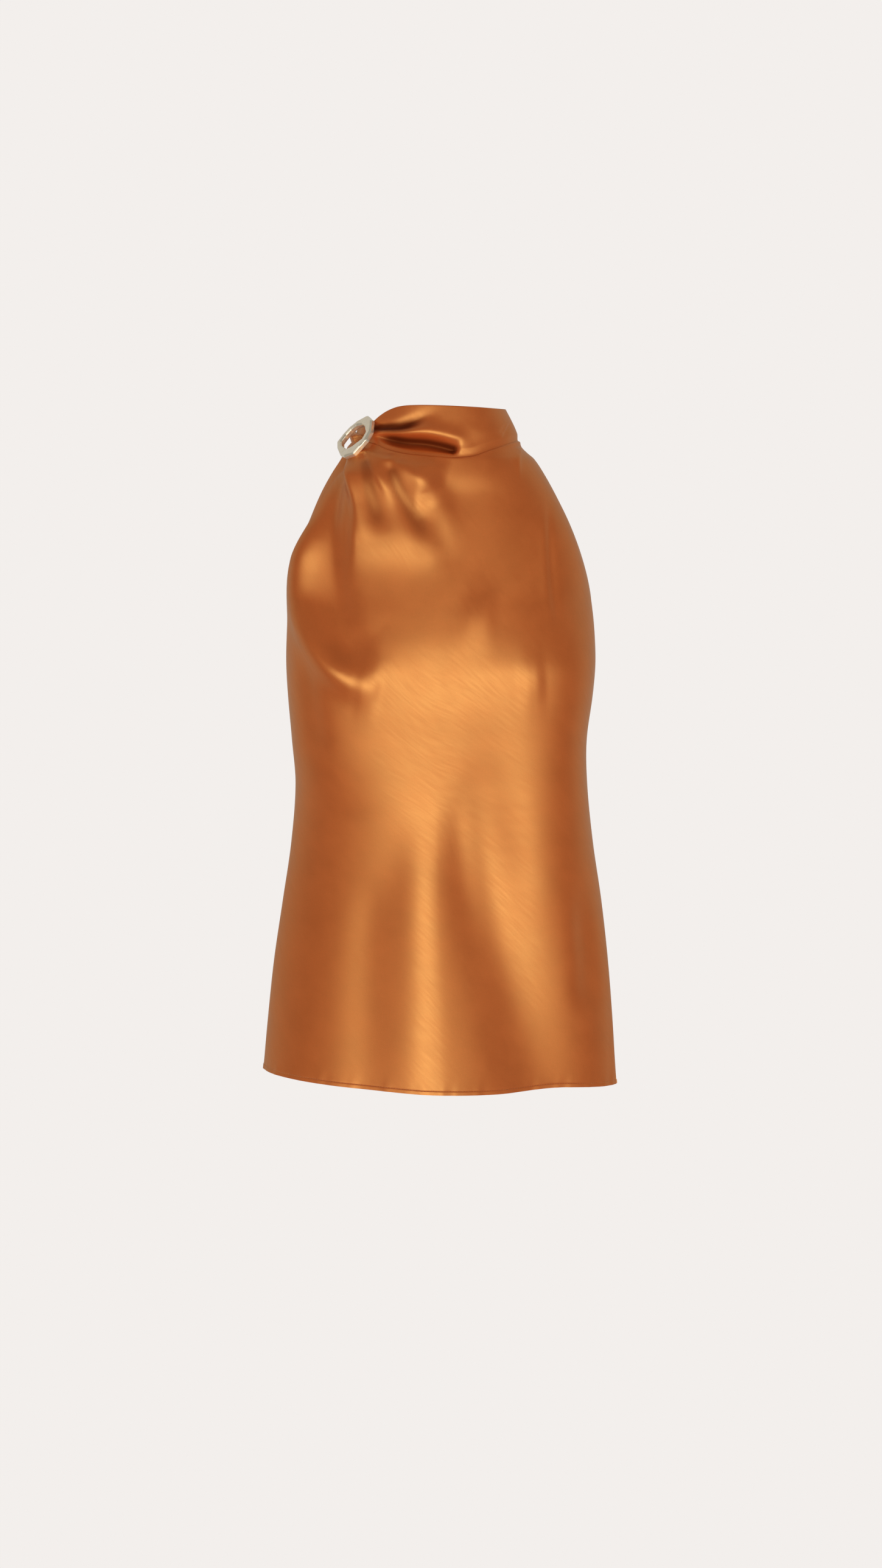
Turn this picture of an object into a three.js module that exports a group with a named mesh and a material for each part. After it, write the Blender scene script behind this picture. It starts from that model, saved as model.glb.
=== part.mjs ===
// A sleeveless satin top with a draped, asymmetric high neck. The front is gathered to a
// hammered metal ring on the wearer's right shoulder. The garment is filled out as it is
// worn: every piece of cloth is a closed wall, and neck, hem and armholes are open.
//
// Axes: X runs to the wearer's left, Y to the back and Z up. Heights in the tables are
// millimetres above the hem, and the finished group is lowered so that the origin lies in
// the middle of the neck opening, where the wearer's neck and shoulders carry the garment.

import * as THREE from 'three';

const { lerp, smoothstep, clamp, degToRad } = THREE.MathUtils;

// ---------------------------------------------------------------- driving sizes, in mm

const WALL = 1.5;                 // thickness of every cloth wall
const SEAM_GAP = 0.3;             // space between two pieces at a seam
const NECK_HEIGHT = 643;          // hem to the neck end of the shoulder seams
const ARMHOLE_BOTTOM = 484;       // hem to the foot of the armholes
const SHOULDER_CORNER = 626;      // hem to the outer end of the shoulder seams
const FRONT_SCOOP_RIGHT = 36;     // how far the front is cut forward at the right armhole
const FRONT_SCOOP_LEFT = 20;      // and at the left armhole
const BACK_ARMHOLE_SCOOP = 24;    // how far the back's armhole edge is cut backward
const BACK_ARMHOLE_INSET = 9;     // how much narrower the back is between the armholes
const ARMHOLE_SAG = 0.95;         // below 1, the armhole is widest under its middle
const ARMHOLE_EASE = 1.5;         // above 1, its edge leaves the side seam gently
const HEM_TILT = 9;               // the hem is this much higher at the wearer's right side
const HEM_LIFT = 4;               // a shallow rise of the front hem, towards the left side
const HEM_LIFT_PLACE = 128;
const HEM_LIFT_REACH = 42;
const HEM_HALF_WIDTH = 180;
const COLLAR_TUCK = 3;            // the collar's lower edge lies this far inside the neckline
const NECKLINE_LEVEL = 635;       // level at which the neckline's places are read
const COLLAR_RISE_START = 0.6;    // the collar leaves the neckline this far above its edge
const COLLAR_RISE_END = 8;        // and has reached its own form this far above it

// Outline of the filled garment. Left and right are half widths at the wearer's right (-X)
// and left (+X) side, front and back are depths from the side seams.
const SECTIONS = [
  { height: -20, right: 182, left: 182, front: 111, back: 113 },
  { height: 0, right: 180, left: 180, front: 110, back: 112 },
  { height: 60, right: 174.5, left: 176, front: 106.5, back: 109 },
  { height: 120, right: 168, left: 171, front: 103, back: 105 },
  { height: 180, right: 159, left: 164, front: 100, back: 100 },
  { height: 240, right: 150, left: 155, front: 98.5, back: 93 },
  { height: 300, right: 145.3, left: 148.7, front: 102, back: 86 },
  { height: 345, right: 148.6, left: 147.8, front: 108, back: 83 },
  { height: 390, right: 152.3, left: 153.5, front: 115, back: 86 },
  { height: 418, right: 153.8, left: 156, front: 118, back: 89.5 },
  { height: 440, right: 153.7, left: 156, front: 115.8, back: 92 },
  { height: 470, right: 152, left: 154, front: 109.5, back: 95 },
  { height: 500, right: 147.8, left: 149.5, front: 102, back: 98 },
  { height: 530, right: 139.8, left: 141.3, front: 94, back: 99 },
  { height: 560, right: 130.5, left: 130, front: 86, back: 97 },
  { height: 590, right: 118.5, left: 115.5, front: 78.5, back: 93 },
  { height: 610, right: 108, left: 104.5, front: 75.5, back: 88 },
  { height: 625, right: 98.5, left: 94.5, front: 72, back: 83 },
  { height: 631, right: 95.5, left: 87.5, front: 70, back: 81 },
  { height: 637, right: 91, left: 81.8, front: 68.5, back: 79 },
  { height: 644, right: 86, left: 80, front: 67, back: 77 },
  { height: 655, right: 82, left: 76, front: 66, back: 74 },
  { height: 665, right: 78, left: 71.2, front: 64, back: 71 },
  { height: 680, right: 71, left: 63.2, front: 61, back: 67 },
];

// Superellipse powers of the sections on each side: 2 is an ellipse, more is squarer, and
// less falls away from a crest down the middle, as the skirt does.
const SECTION_POWERS = [
  { height: -20, right: 2.1, left: 1.6 },
  { height: 60, right: 1.85, left: 1.66 },
  { height: 150, right: 1.75, left: 1.85 },
  { height: 208, right: 1.78, left: 2.25 },
  { height: 268, right: 2.1, left: 2.9 },
  { height: 330, right: 2.8, left: 3.5 },
  { height: 420, right: 2.9, left: 3.5 },
  { height: 500, right: 2.35, left: 2.5 },
  { height: 680, right: 2.25, left: 2.25 },
];

// Front neckline: the seam between the front panel and the collar.
const FRONT_NECKLINE = [
  { across: -88, height: 643 },
  { across: -68, height: 641 },
  { across: -50, height: 635 },
  { across: -26, height: 630 },
  { across: 8, height: 628 },
  { across: 30, height: 629.5 },
  { across: 50, height: 635 },
  { across: 80, height: 643 },
];

// Folded top edge of the draped collar, from the ring round the front to the left side.
const COLLAR_TOP = [
  { across: -79, height: 657.5 },
  { across: -72, height: 659.5 },
  { across: -64, height: 663 },
  { across: -55, height: 670 },
  { across: -44, height: 675.5 },
  { across: -26, height: 678.5 },
  { across: 8, height: 678.5 },
  { across: 42, height: 677 },
  { across: 60, height: 675.8 },
  { across: 71, height: 675 },
];
const COLLAR_TOP_BACK = 671;      // highest that the top edge goes behind the neck
const COLLAR_BACK_LAG = 8;        // behind the ring the top edge rises this much further in
const COLLAR_MIDDLE = 665;        // height at which the top edge's places are read
const COLLAR_BACK_DROP = 1;       // the collar's back edge stands this much lower than its front
const COLLAR_BACK_BLEND = 0.3;    // and meets the front's edge within this much of its round
const BACK_NECKLINE_RISE = 2;     // the nape seam is this much above the shoulder seams

// Folds. A fold runs along its path of [across, height] points, rises (+) or sinks (-) by
// its depth, and is narrow mm wide on each side at its start and wide mm at its end. It
// starts and ends within fadeIn and fadeOut of its length.
const FRONT_FOLDS = [
  { name: 'gather ridge 1', depth: 6, narrow: 6, wide: 14, fadeIn: 0.3, fadeOut: 0.4,
    path: [[-82, 634], [-88, 597], [-85, 567], [-73, 530]] },
  { name: 'gather trough 1', depth: -6, narrow: 5, wide: 9, fadeIn: 0.2, fadeOut: 0.35,
    path: [[-76, 637], [-73, 597], [-61, 567], [-56, 545]] },
  { name: 'gather ridge 2', depth: 6, narrow: 6, wide: 15, fadeIn: 0.3, fadeOut: 0.4,
    path: [[-66, 634], [-51, 597], [-43, 567], [-40, 530]] },
  { name: 'gather trough 2', depth: -7, narrow: 5, wide: 11, fadeIn: 0.2, fadeOut: 0.3,
    path: [[-60, 635], [-38, 597], [-25, 567], [-12, 534]] },
  { name: 'gather ridge 3', depth: 8, narrow: 6, wide: 14, fadeIn: 0.3, fadeOut: 0.4,
    path: [[-50, 632], [-22, 614], [-8, 597], [-1, 567], [4, 534]] },
  { name: 'hollow under the neckline', depth: -5, narrow: 5, wide: 9, fadeIn: 0.2, fadeOut: 0.5,
    path: [[-46, 626], [-26, 618], [-4, 606]] },
  { name: 'swell under the gathers', depth: 18, narrow: 20, wide: 25, fadeIn: 0.2, fadeOut: 0.3,
    path: [[-88, 588], [-50, 582], [-20, 580], [-4, 584]] },
  { name: 'long right trough', depth: -9, narrow: 7, wide: 18, fadeIn: 0, fadeOut: 0.3,
    path: [[-95, 626], [-108, 566], [-108, 510], [-98, 470], [-70, 428]] },
  { name: 'right bust band', depth: 9, narrow: 9, wide: 18, fadeIn: 0.15, fadeOut: 0.35,
    path: [[-124, 580], [-137, 508], [-129, 462], [-106, 427], [-64, 402]] },
  { name: 'right side trough', depth: -3, narrow: 10, wide: 16, fadeIn: 0.3, fadeOut: 0.3,
    path: [[-138, 440], [-128, 380], [-122, 320]] },
  { name: 'left armhole crease', depth: -1.2, narrow: 3, wide: 5, fadeIn: 0.3, fadeOut: 0.3,
    path: [[108, 592], [110, 520], [117, 452]] },
  { name: 'left armhole ridge', depth: 0.7, narrow: 4, wide: 6, fadeIn: 0.3, fadeOut: 0.3,
    path: [[102, 588], [104, 520], [110, 455]] },
  { name: 'left neckline corner', depth: 1.6, narrow: 4, wide: 4, fadeIn: 0.1, fadeOut: 0.6,
    path: [[78, 638], [77, 624], [79, 604]] },
  { name: 'skirt ridge', depth: 5, narrow: 14, wide: 19, fadeIn: 0.4, fadeOut: 0,
    path: [[-12, 300], [-15, 208], [-15, 90], [-15, -20]] },
  { name: 'skirt hollow', depth: -17, narrow: 22, wide: 54, fadeIn: 0.55, fadeOut: 0,
    path: [[40, 350], [48, 268], [56, 208], [68, 149], [82, 89], [98, 29], [110, -20]] },
  { name: 'skirt crease', depth: -2.2, narrow: 7, wide: 18, fadeIn: 0.3, fadeOut: 0.5,
    path: [[8, 316], [17, 268], [23, 208], [34, 150], [46, 90]] },
  { name: 'skirt right hollow', depth: -2.5, narrow: 16, wide: 24, fadeIn: 0.5, fadeOut: 0,
    path: [[-64, 230], [-72, 150], [-74, -20]] },
  { name: 'left hip trough', depth: -4, narrow: 10, wide: 14, fadeIn: 0.4, fadeOut: 0.3,
    path: [[138, 215], [150, 130], [156, 60]] },
];

const COLLAR_FOLDS = [
  { name: 'upper crease', depth: -6, narrow: 3.6, wide: 8, fadeIn: 0.25, fadeOut: 0.55,
    path: [[-86, 652], [-62, 656.5], [-40, 657.5], [-26, 661], [-12, 667], [6, 673]] },
  { name: 'end drawn under the ring', depth: -2.5, narrow: 8, wide: 8, fadeIn: 0, fadeOut: 0.5,
    path: [[-84, 660], [-58, 664]] },
  { name: 'upper roll', depth: 4, narrow: 4, wide: 12, fadeIn: 0.4, fadeOut: 0.6,
    path: [[-86, 649.5], [-60, 653], [-32, 654.5], [-8, 659], [24, 663]] },
  { name: 'deep trough', depth: -9.5, narrow: 3.8, wide: 6, fadeIn: 0.35, fadeOut: 0.12,
    path: [[-86, 646.5], [-62, 646], [-40, 647.5], [-22, 648], [-5, 643.5], [10, 637], [20, 632]] },
  { name: 'lower roll', depth: 3.5, narrow: 5, wide: 6.5, fadeIn: 0.6, fadeOut: 0.2,
    path: [[-40, 654], [-12, 652], [4, 647], [18, 640], [26, 634]] },
  { name: 'neckline roll', depth: 2, narrow: 4, wide: 4, fadeIn: 0.2, fadeOut: 0.3,
    path: [[-60, 643], [-40, 639.5], [-14, 636]] },
  { name: 'left side crease', depth: -1.6, narrow: 2.5, wide: 4, fadeIn: 0.4, fadeOut: 0.4,
    path: [[72, 662], [66, 655], [60, 646]] },
];

const BACK_FOLDS = [
  { name: 'back skirt trough', depth: -9, narrow: 12, wide: 26, fadeIn: 0.3, fadeOut: 0,
    path: [[18, 285], [36, 150], [48, -20]] },
  { name: 'back skirt ridge', depth: 7, narrow: 14, wide: 27, fadeIn: 0.3, fadeOut: 0,
    path: [[-22, 265], [-16, 140], [-8, -20]] },
  { name: 'back right trough', depth: -8, narrow: 10, wide: 24, fadeIn: 0.3, fadeOut: 0,
    path: [[-54, 300], [-70, 160], [-84, -20]] },
  { name: 'back left ridge', depth: 6, narrow: 12, wide: 22, fadeIn: 0.4, fadeOut: 0,
    path: [[86, 220], [98, 110], [112, -20]] },
  { name: 'small of the back', depth: -5, narrow: 22, wide: 26, fadeIn: 0.4, fadeOut: 0.4,
    path: [[-70, 330], [0, 316], [72, 336]] },
  { name: 'back gather trough 1', depth: -4, narrow: 6, wide: 16, fadeIn: 0.2, fadeOut: 0.6,
    path: [[-64, 640], [-46, 585], [-24, 505]] },
  { name: 'back gather ridge', depth: 3.5, narrow: 6, wide: 15, fadeIn: 0.2, fadeOut: 0.6,
    path: [[-70, 640], [-66, 580], [-58, 500]] },
  { name: 'back gather trough 2', depth: -4, narrow: 6, wide: 13, fadeIn: 0.3, fadeOut: 0.5,
    path: [[-80, 632], [-90, 570], [-90, 490]] },
  { name: 'back left drag', depth: -4, narrow: 8, wide: 16, fadeIn: 0.4, fadeOut: 0.5,
    path: [[120, 500], [82, 440], [30, 405]] },
];

// The ring: a chunky beaten band round a lens-shaped opening. Each row is a corner of the
// band: its angle in degrees from the long axis towards the short one, the distances of its
// outer and inner edges from the ring's middle, and how far it is bent forward.
const RING_CORNERS = [
  { angle: -150, outer: 22.8, inner: 12.3, forward: 0.3 },
  { angle: -120, outer: 23, inner: 11, forward: -0.2 },
  { angle: -95, outer: 21.5, inner: 12.4, forward: 0.4 },
  { angle: -72, outer: 22.4, inner: 15.6, forward: 0 },
  { angle: -45, outer: 23.4, inner: 16.6, forward: -0.4 },
  { angle: -12, outer: 25.8, inner: 16, forward: 0.3 },
  { angle: 15, outer: 26.4, inner: 15.6, forward: -0.3 },
  { angle: 42, outer: 21, inner: 15, forward: 0.3 },
  { angle: 72, outer: 19.4, inner: 14.2, forward: 0 },
  { angle: 100, outer: 20.4, inner: 15, forward: -0.4 },
  { angle: 128, outer: 22.8, inner: 16.8, forward: 0.2 },
  { angle: 150, outer: 20.8, inner: 15, forward: 0.4 },
  { angle: 188, outer: 21.4, inner: 13, forward: -0.2 },
];
const RING_THICKNESS = 6.6;
const RING_CHAMFER = 1.4;         // the band's long edges are beaten soft by this much
const RING_CENTRE = new THREE.Vector3(-83.9, -38.6, 645.2);
const RING_NORMAL = new THREE.Vector3(-0.66, -0.5, 0.56).normalize();
const RING_LONG_AXIS = new THREE.Vector3(0.65, 0, 0.76);

const SATIN = { color: 0xb8652f, roughness: 0.42, metalness: 0 };
const GOLD = { color: 0xdecbaa, roughness: 0.18, metalness: 1 };

// ---------------------------------------------------------------- reading the tables

// Smooth curve through the rows of a table: value column against position column.
function curveThrough(rows, position, value) {
  const slopes = rows.map((row, i) => {
    const before = rows[Math.max(i - 1, 0)];
    const after = rows[Math.min(i + 1, rows.length - 1)];
    return (after[value] - before[value]) / (after[position] - before[position]);
  });
  return (at) => {
    const passed = rows.filter((row) => row[position] <= at).length;
    const i = clamp(passed - 1, 0, rows.length - 2);
    const from = rows[i];
    const to = rows[i + 1];
    const span = to[position] - from[position];
    const u = clamp((at - from[position]) / span, 0, 1);
    const u2 = u * u;
    const u3 = u2 * u;
    return from[value] * (2 * u3 - 3 * u2 + 1) + to[value] * (3 * u2 - 2 * u3)
      + slopes[i] * span * (u3 - 2 * u2 + u) + slopes[i + 1] * span * (u3 - u2);
  };
}

const halfWidthRight = curveThrough(SECTIONS, 'height', 'right');
const halfWidthLeft = curveThrough(SECTIONS, 'height', 'left');
const depthFront = curveThrough(SECTIONS, 'height', 'front');
const depthBack = curveThrough(SECTIONS, 'height', 'back');
const powerRight = curveThrough(SECTION_POWERS, 'height', 'right');
const powerLeft = curveThrough(SECTION_POWERS, 'height', 'left');
const frontNeckline = curveThrough(FRONT_NECKLINE, 'across', 'height');
const collarTop = curveThrough(COLLAR_TOP, 'across', 'height');

// ---------------------------------------------------------------- folds

const FOLD_SAMPLES = 28;

// Turns a table row into a height field over (across, height).
function foldField(fold) {
  const curve = new THREE.CatmullRomCurve3(
    fold.path.map(([across, height]) => new THREE.Vector3(across, height, 0)),
  );
  const samples = curve.getPoints(FOLD_SAMPLES);
  return (across, height) => {
    let nearest = Infinity;
    let along = 0;
    for (let i = 0; i < FOLD_SAMPLES; i += 1) {
      const from = samples[i];
      const stepX = samples[i + 1].x - from.x;
      const stepY = samples[i + 1].y - from.y;
      const reach = (across - from.x) * stepX + (height - from.y) * stepY;
      const u = clamp(reach / (stepX * stepX + stepY * stepY), 0, 1);
      const distance = Math.hypot(across - from.x - u * stepX, height - from.y - u * stepY);
      if (distance < nearest) {
        nearest = distance;
        along = (i + u) / FOLD_SAMPLES;
      }
    }
    const width = lerp(fold.narrow, fold.wide, along);
    const fadeIn = fold.fadeIn ? smoothstep(along, 0, fold.fadeIn) : 1;
    const fadeOut = fold.fadeOut ? 1 - smoothstep(along, 1 - fold.fadeOut, 1) : 1;
    return fold.depth * fadeIn * fadeOut * Math.exp(-((nearest / width) ** 2));
  };
}

function foldSum(folds) {
  const fields = folds.map(foldField);
  return (across, height) => fields.reduce((sum, field) => sum + field(across, height), 0);
}

const frontFolds = foldSum(FRONT_FOLDS);
const collarFolds = foldSum(COLLAR_FOLDS);
const backFolds = foldSum(BACK_FOLDS);

// ---------------------------------------------------------------- the filled form

// How much of a fold is left near the side seams, where both panels must meet.
const SEAM_CALM = 0.07;
function calm(turn) {
  return smoothstep(turn, 0, SEAM_CALM) * smoothstep(1 - turn, 0, SEAM_CALM);
}

// Armholes: 0 at the side seam and on the shoulder seam, 1 halfway up the armhole.
function armhole(height) {
  const up = clamp((height - ARMHOLE_BOTTOM) / (SHOULDER_CORNER - ARMHOLE_BOTTOM), 0, 1);
  return Math.max(Math.sin(Math.PI * up ** ARMHOLE_SAG), 0) ** ARMHOLE_EASE;
}

// Exponent of the section's sine and cosine at a height, on the side that x points to.
function sectionBend(height, towardsLeft) {
  return 2 / (towardsLeft ? powerLeft(height) : powerRight(height));
}

// A point of the front form: turn goes 0 to 1 from the wearer's right side to the left.
function frontForm(turn, height) {
  const angle = Math.PI * turn;
  const side = Math.cos(angle);
  const half = side > 0 ? halfWidthRight(height) : halfWidthLeft(height);
  const scoop = side > 0 ? FRONT_SCOOP_RIGHT : FRONT_SCOOP_LEFT;
  const edge = -SEAM_GAP / 2 - scoop * armhole(height);
  const bend = sectionBend(height, side < 0);
  return new THREE.Vector3(
    -Math.sign(side) * half * Math.abs(side) ** bend,
    edge - (depthFront(height) + edge) * Math.sin(angle) ** bend,
    height,
  );
}

// A point of the back form: turn goes 0 to 1 from the wearer's left side to the right.
function backForm(turn, height) {
  const angle = Math.PI * turn;
  const side = Math.cos(angle);
  const cut = BACK_ARMHOLE_INSET * armhole(height);
  const half = (side > 0 ? halfWidthLeft(height) : halfWidthRight(height)) - cut;
  const edge = SEAM_GAP / 2 + BACK_ARMHOLE_SCOOP * armhole(height);
  const bend = sectionBend(height, side > 0);
  return new THREE.Vector3(
    Math.sign(side) * half * Math.abs(side) ** bend,
    edge + (depthBack(height) - edge) * Math.sin(angle) ** bend,
    height,
  );
}

const STEP_TURN = 1e-4;
const STEP_HEIGHT = 0.05;

// Outward normal of a surface given as a function of (turn, height).
function normalOf(surface, turn, height) {
  const t0 = Math.max(turn - STEP_TURN, 0);
  const t1 = Math.min(turn + STEP_TURN, 1);
  const across = surface(t1, height).sub(surface(t0, height));
  const up = surface(turn, height + STEP_HEIGHT).sub(surface(turn, height - STEP_HEIGHT));
  return across.cross(up).normalize();
}

// Moves a form in or out along its normals by an amount that depends on the place.
function displaced(form, amount) {
  return (turn, height) => {
    const point = form(turn, height);
    return point.addScaledVector(normalOf(form, turn, height), amount(point.x, height, turn));
  };
}

// Folds flatten towards the neckline, where they are stitched down.
const STITCHED_SHARE = 0.4;
const STITCHED_REACH = 14;
function stitchedDown(below) {
  return lerp(STITCHED_SHARE, 1, smoothstep(below, 0, STITCHED_REACH));
}

const frontSurface = displaced(frontForm, (x, height, turn) => (
  frontFolds(x, height) * calm(turn) * stitchedDown(frontNeckline(x) - height)));
const backSurface = displaced(backForm, (x, height, turn) => (
  backFolds(x, height) * calm(turn) * stitchedDown(NECK_HEIGHT - height)));

// ---------------------------------------------------------------- walls

// Closes two grids of points, outer and inner, into one wall with rims all round.
function wallGeometry(outer, inner, columns, rows) {
  const stride = columns + 1;
  const count = stride * (rows + 1);
  const index = [];
  const quad = (a, b, c, d) => index.push(a, b, d, b, c, d);
  for (let row = 0; row < rows; row += 1) {
    for (let column = 0; column < columns; column += 1) {
      const a = row * stride + column;
      quad(a, a + 1, a + stride + 1, a + stride);
      quad(a + count, a + stride + count, a + stride + 1 + count, a + 1 + count);
    }
  }
  for (let column = 0; column < columns; column += 1) {
    const foot = column;
    const head = rows * stride + column;
    quad(foot, foot + count, foot + 1 + count, foot + 1);
    quad(head, head + 1, head + 1 + count, head + count);
  }
  for (let row = 0; row < rows; row += 1) {
    const start = row * stride;
    const end = start + columns;
    quad(start, start + stride, start + stride + count, start + count);
    quad(end, end + count, end + stride + count, end + stride);
  }
  const points = [...outer, ...inner].flatMap((point) => point.toArray());
  const geometry = new THREE.BufferGeometry();
  geometry.setAttribute('position', new THREE.Float32BufferAttribute(points, 3));
  geometry.setIndex(index);
  geometry.computeVertexNormals();
  return geometry;
}

// A cloth wall whose outer side is surface(turn, height) over a grid of places.
function clothWall(surface, columns, rows, place, thickness = WALL) {
  const outer = [];
  const inner = [];
  for (let row = 0; row <= rows; row += 1) {
    for (let column = 0; column <= columns; column += 1) {
      const { turn, height } = place(column / columns, row / rows);
      const point = surface(turn, height);
      outer.push(point);
      inner.push(point.clone().addScaledVector(normalOf(surface, turn, height), -thickness));
    }
  }
  return wallGeometry(outer, inner, columns, rows);
}

// ---------------------------------------------------------------- front and back panels

const FRONT_COLUMNS = 46;
const FRONT_ROWS = 38;
const BACK_COLUMNS = 26;
const BACK_ROWS = 26;
const ROW_CROWDING = 1.45;        // rows lie closer together towards the gathers
const GATHER_CROWDING = 0.4;      // and so do the columns, towards the ring,
const CROWDING_START = 0.2;       // from this share of the panel's height
const CROWDING_END = 0.8;

function hemHeight(x) {
  const lift = HEM_LIFT * Math.exp(-(((x - HEM_LIFT_PLACE) / HEM_LIFT_REACH) ** 2));
  return lift - HEM_TILT * x / HEM_HALF_WIDTH;
}

// Columns are even at the hem and crowd towards the ring from the armholes up.
function frontTurn(across, up) {
  return across ** (1 + GATHER_CROWDING * smoothstep(up, CROWDING_START, CROWDING_END));
}

function frontPlace(across, up) {
  const turn = frontTurn(across, up);
  const foot = hemHeight(frontForm(turn, 0).x);
  const head = frontNeckline(frontForm(turn, NECKLINE_LEVEL).x);
  const raised = 1 - (1 - up) ** ROW_CROWDING;
  return { turn, height: lerp(foot, head, raised) };
}

function backPlace(across, up) {
  const foot = hemHeight(backForm(across, 0).x);
  const head = NECK_HEIGHT + BACK_NECKLINE_RISE * Math.sin(Math.PI * across);
  const raised = 1 - (1 - up) ** ROW_CROWDING;
  return { turn: across, height: lerp(foot, head, raised) };
}

// ---------------------------------------------------------------- collar

const COLLAR_ROWS = 15;
const COLLAR_BACK_ROWS = 8;

// Blend from the panel that the collar is sewn into, to the collar's own form.
function collarRise(height, seam) {
  return smoothstep(height, seam + COLLAR_RISE_START, seam + COLLAR_RISE_END);
}

function insideOf(surface, turn, height) {
  return surface(turn, height)
    .addScaledVector(normalOf(surface, turn, height), -WALL - SEAM_GAP);
}

const draped = displaced(frontForm, (x, height, turn) => collarFolds(x, height) * calm(turn));

function collarFrontSurface(turn, height) {
  const seam = frontNeckline(frontForm(turn, NECKLINE_LEVEL).x);
  const tucked = insideOf(frontSurface, turn, height);
  return tucked.lerp(draped(turn, height), collarRise(height, seam));
}

function collarBackSurface(turn, height) {
  const tucked = insideOf(backSurface, turn, height);
  const seam = NECK_HEIGHT + BACK_NECKLINE_RISE;
  return tucked.lerp(backForm(turn, height), collarRise(height, seam));
}

function collarFrontPlace(across, up) {
  const turn = frontTurn(across, 1);
  const foot = frontNeckline(frontForm(turn, NECKLINE_LEVEL).x) - COLLAR_TUCK;
  const head = collarTop(frontForm(turn, COLLAR_MIDDLE).x);
  return { turn, height: lerp(foot, head, up) };
}

function collarBackPlace(across, up) {
  const x = backForm(across, COLLAR_MIDDLE).x;
  const away = smoothstep(Math.sin(Math.PI * across), 0, COLLAR_BACK_BLEND);
  const behind = Math.min(collarTop(x - COLLAR_BACK_LAG), COLLAR_TOP_BACK);
  const head = lerp(collarTop(x), behind - COLLAR_BACK_DROP, away);
  return { turn: across, height: lerp(NECK_HEIGHT - COLLAR_TUCK, head, up) };
}

// ---------------------------------------------------------------- shoulder loop

const LOOP_COLUMNS = 16;
const LOOP_ROWS = 8;
const LOOP_HALF_WIDTH = 5;
const LOOP_SEAT = 1.6;            // its edges stand this far off the form
const LOOP_HEIGHT = 647;          // middle of the loop over the shoulder
const LOOP_DROP = 5;              // its front end lies this much lower
const LOOP_CROWN = 4.3;           // and its middle this much further, inside the ring
const LOOP_START = -0.03;         // turns of the front form, negative is past the side seam
const LOOP_END = 0.18;
const LOOP_STEP = 0.01;           // small step for the loop's own normals

// The gathered end of the front, drawn up through the ring as one rounded fold.
function loopPoint(along, across) {
  const turn = lerp(LOOP_START, LOOP_END, along);
  const middle = LOOP_HEIGHT - LOOP_DROP * along ** 2;
  const height = middle + LOOP_HALF_WIDTH * across;
  const behind = turn < 0;
  const form = behind ? backForm(1 + turn, height) : frontForm(turn, height);
  const outward = behind
    ? normalOf(backForm, 1 + turn, height)
    : normalOf(frontForm, Math.max(turn, STEP_TURN), height);
  const crown = LOOP_CROWN * (1 - across ** 2) * Math.sin(Math.PI * clamp(along, 0, 1));
  return form.addScaledVector(outward, LOOP_SEAT + crown);
}

function shoulderLoop() {
  const outer = [];
  const inner = [];
  for (let row = 0; row <= LOOP_ROWS; row += 1) {
    for (let column = 0; column <= LOOP_COLUMNS; column += 1) {
      const along = column / LOOP_COLUMNS;
      const across = -1 + 2 * row / LOOP_ROWS;
      const point = loopPoint(along, across);
      const ahead = loopPoint(along + LOOP_STEP, across).sub(loopPoint(along - LOOP_STEP, across));
      const up = loopPoint(along, across + LOOP_STEP).sub(loopPoint(along, across - LOOP_STEP));
      outer.push(point);
      inner.push(point.clone().addScaledVector(ahead.cross(up).normalize(), -WALL));
    }
  }
  return wallGeometry(outer, inner, LOOP_COLUMNS, LOOP_ROWS);
}

// ---------------------------------------------------------------- ring

// Corners of the band's section, as [distance from the middle, distance forward].
function ringSection({ outer, inner }) {
  const face = RING_THICKNESS / 2;
  const side = face - RING_CHAMFER;
  return [
    [outer, -side], [outer, side], [outer - RING_CHAMFER, face], [inner + RING_CHAMFER, face],
    [inner, side], [inner, -side], [inner + RING_CHAMFER, -face], [outer - RING_CHAMFER, -face],
  ];
}

function ringGeometry() {
  const shortAxis = new THREE.Vector3().crossVectors(RING_NORMAL, RING_LONG_AXIS).normalize();
  const longAxis = new THREE.Vector3().crossVectors(shortAxis, RING_NORMAL);
  const points = [];
  const index = [];
  RING_CORNERS.forEach((corner, i) => {
    const angle = degToRad(corner.angle);
    const outward = longAxis.clone().multiplyScalar(Math.cos(angle))
      .addScaledVector(shortAxis, Math.sin(angle));
    const section = ringSection(corner);
    const sides = section.length;
    const next = (i + 1) % RING_CORNERS.length;
    section.forEach(([away, through], j) => {
      const point = RING_CENTRE.clone()
        .addScaledVector(outward, away)
        .addScaledVector(RING_NORMAL, through + corner.forward);
      points.push(...point.toArray());
      const a = i * sides + j;
      const b = next * sides + j;
      const c = next * sides + (j + 1) % sides;
      const d = i * sides + (j + 1) % sides;
      index.push(a, b, c, a, c, d);
    });
  });
  const geometry = new THREE.BufferGeometry();
  geometry.setAttribute('position', new THREE.Float32BufferAttribute(points, 3));
  geometry.setIndex(index);
  geometry.computeVertexNormals();
  return geometry;
}

// ---------------------------------------------------------------- assembly

const top = new THREE.Group();
top.position.z = -NECK_HEIGHT;

function add(name, geometry, finish) {
  const mesh = new THREE.Mesh(geometry, new THREE.MeshStandardMaterial(finish));
  mesh.name = name;
  top.add(mesh);
}

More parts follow.
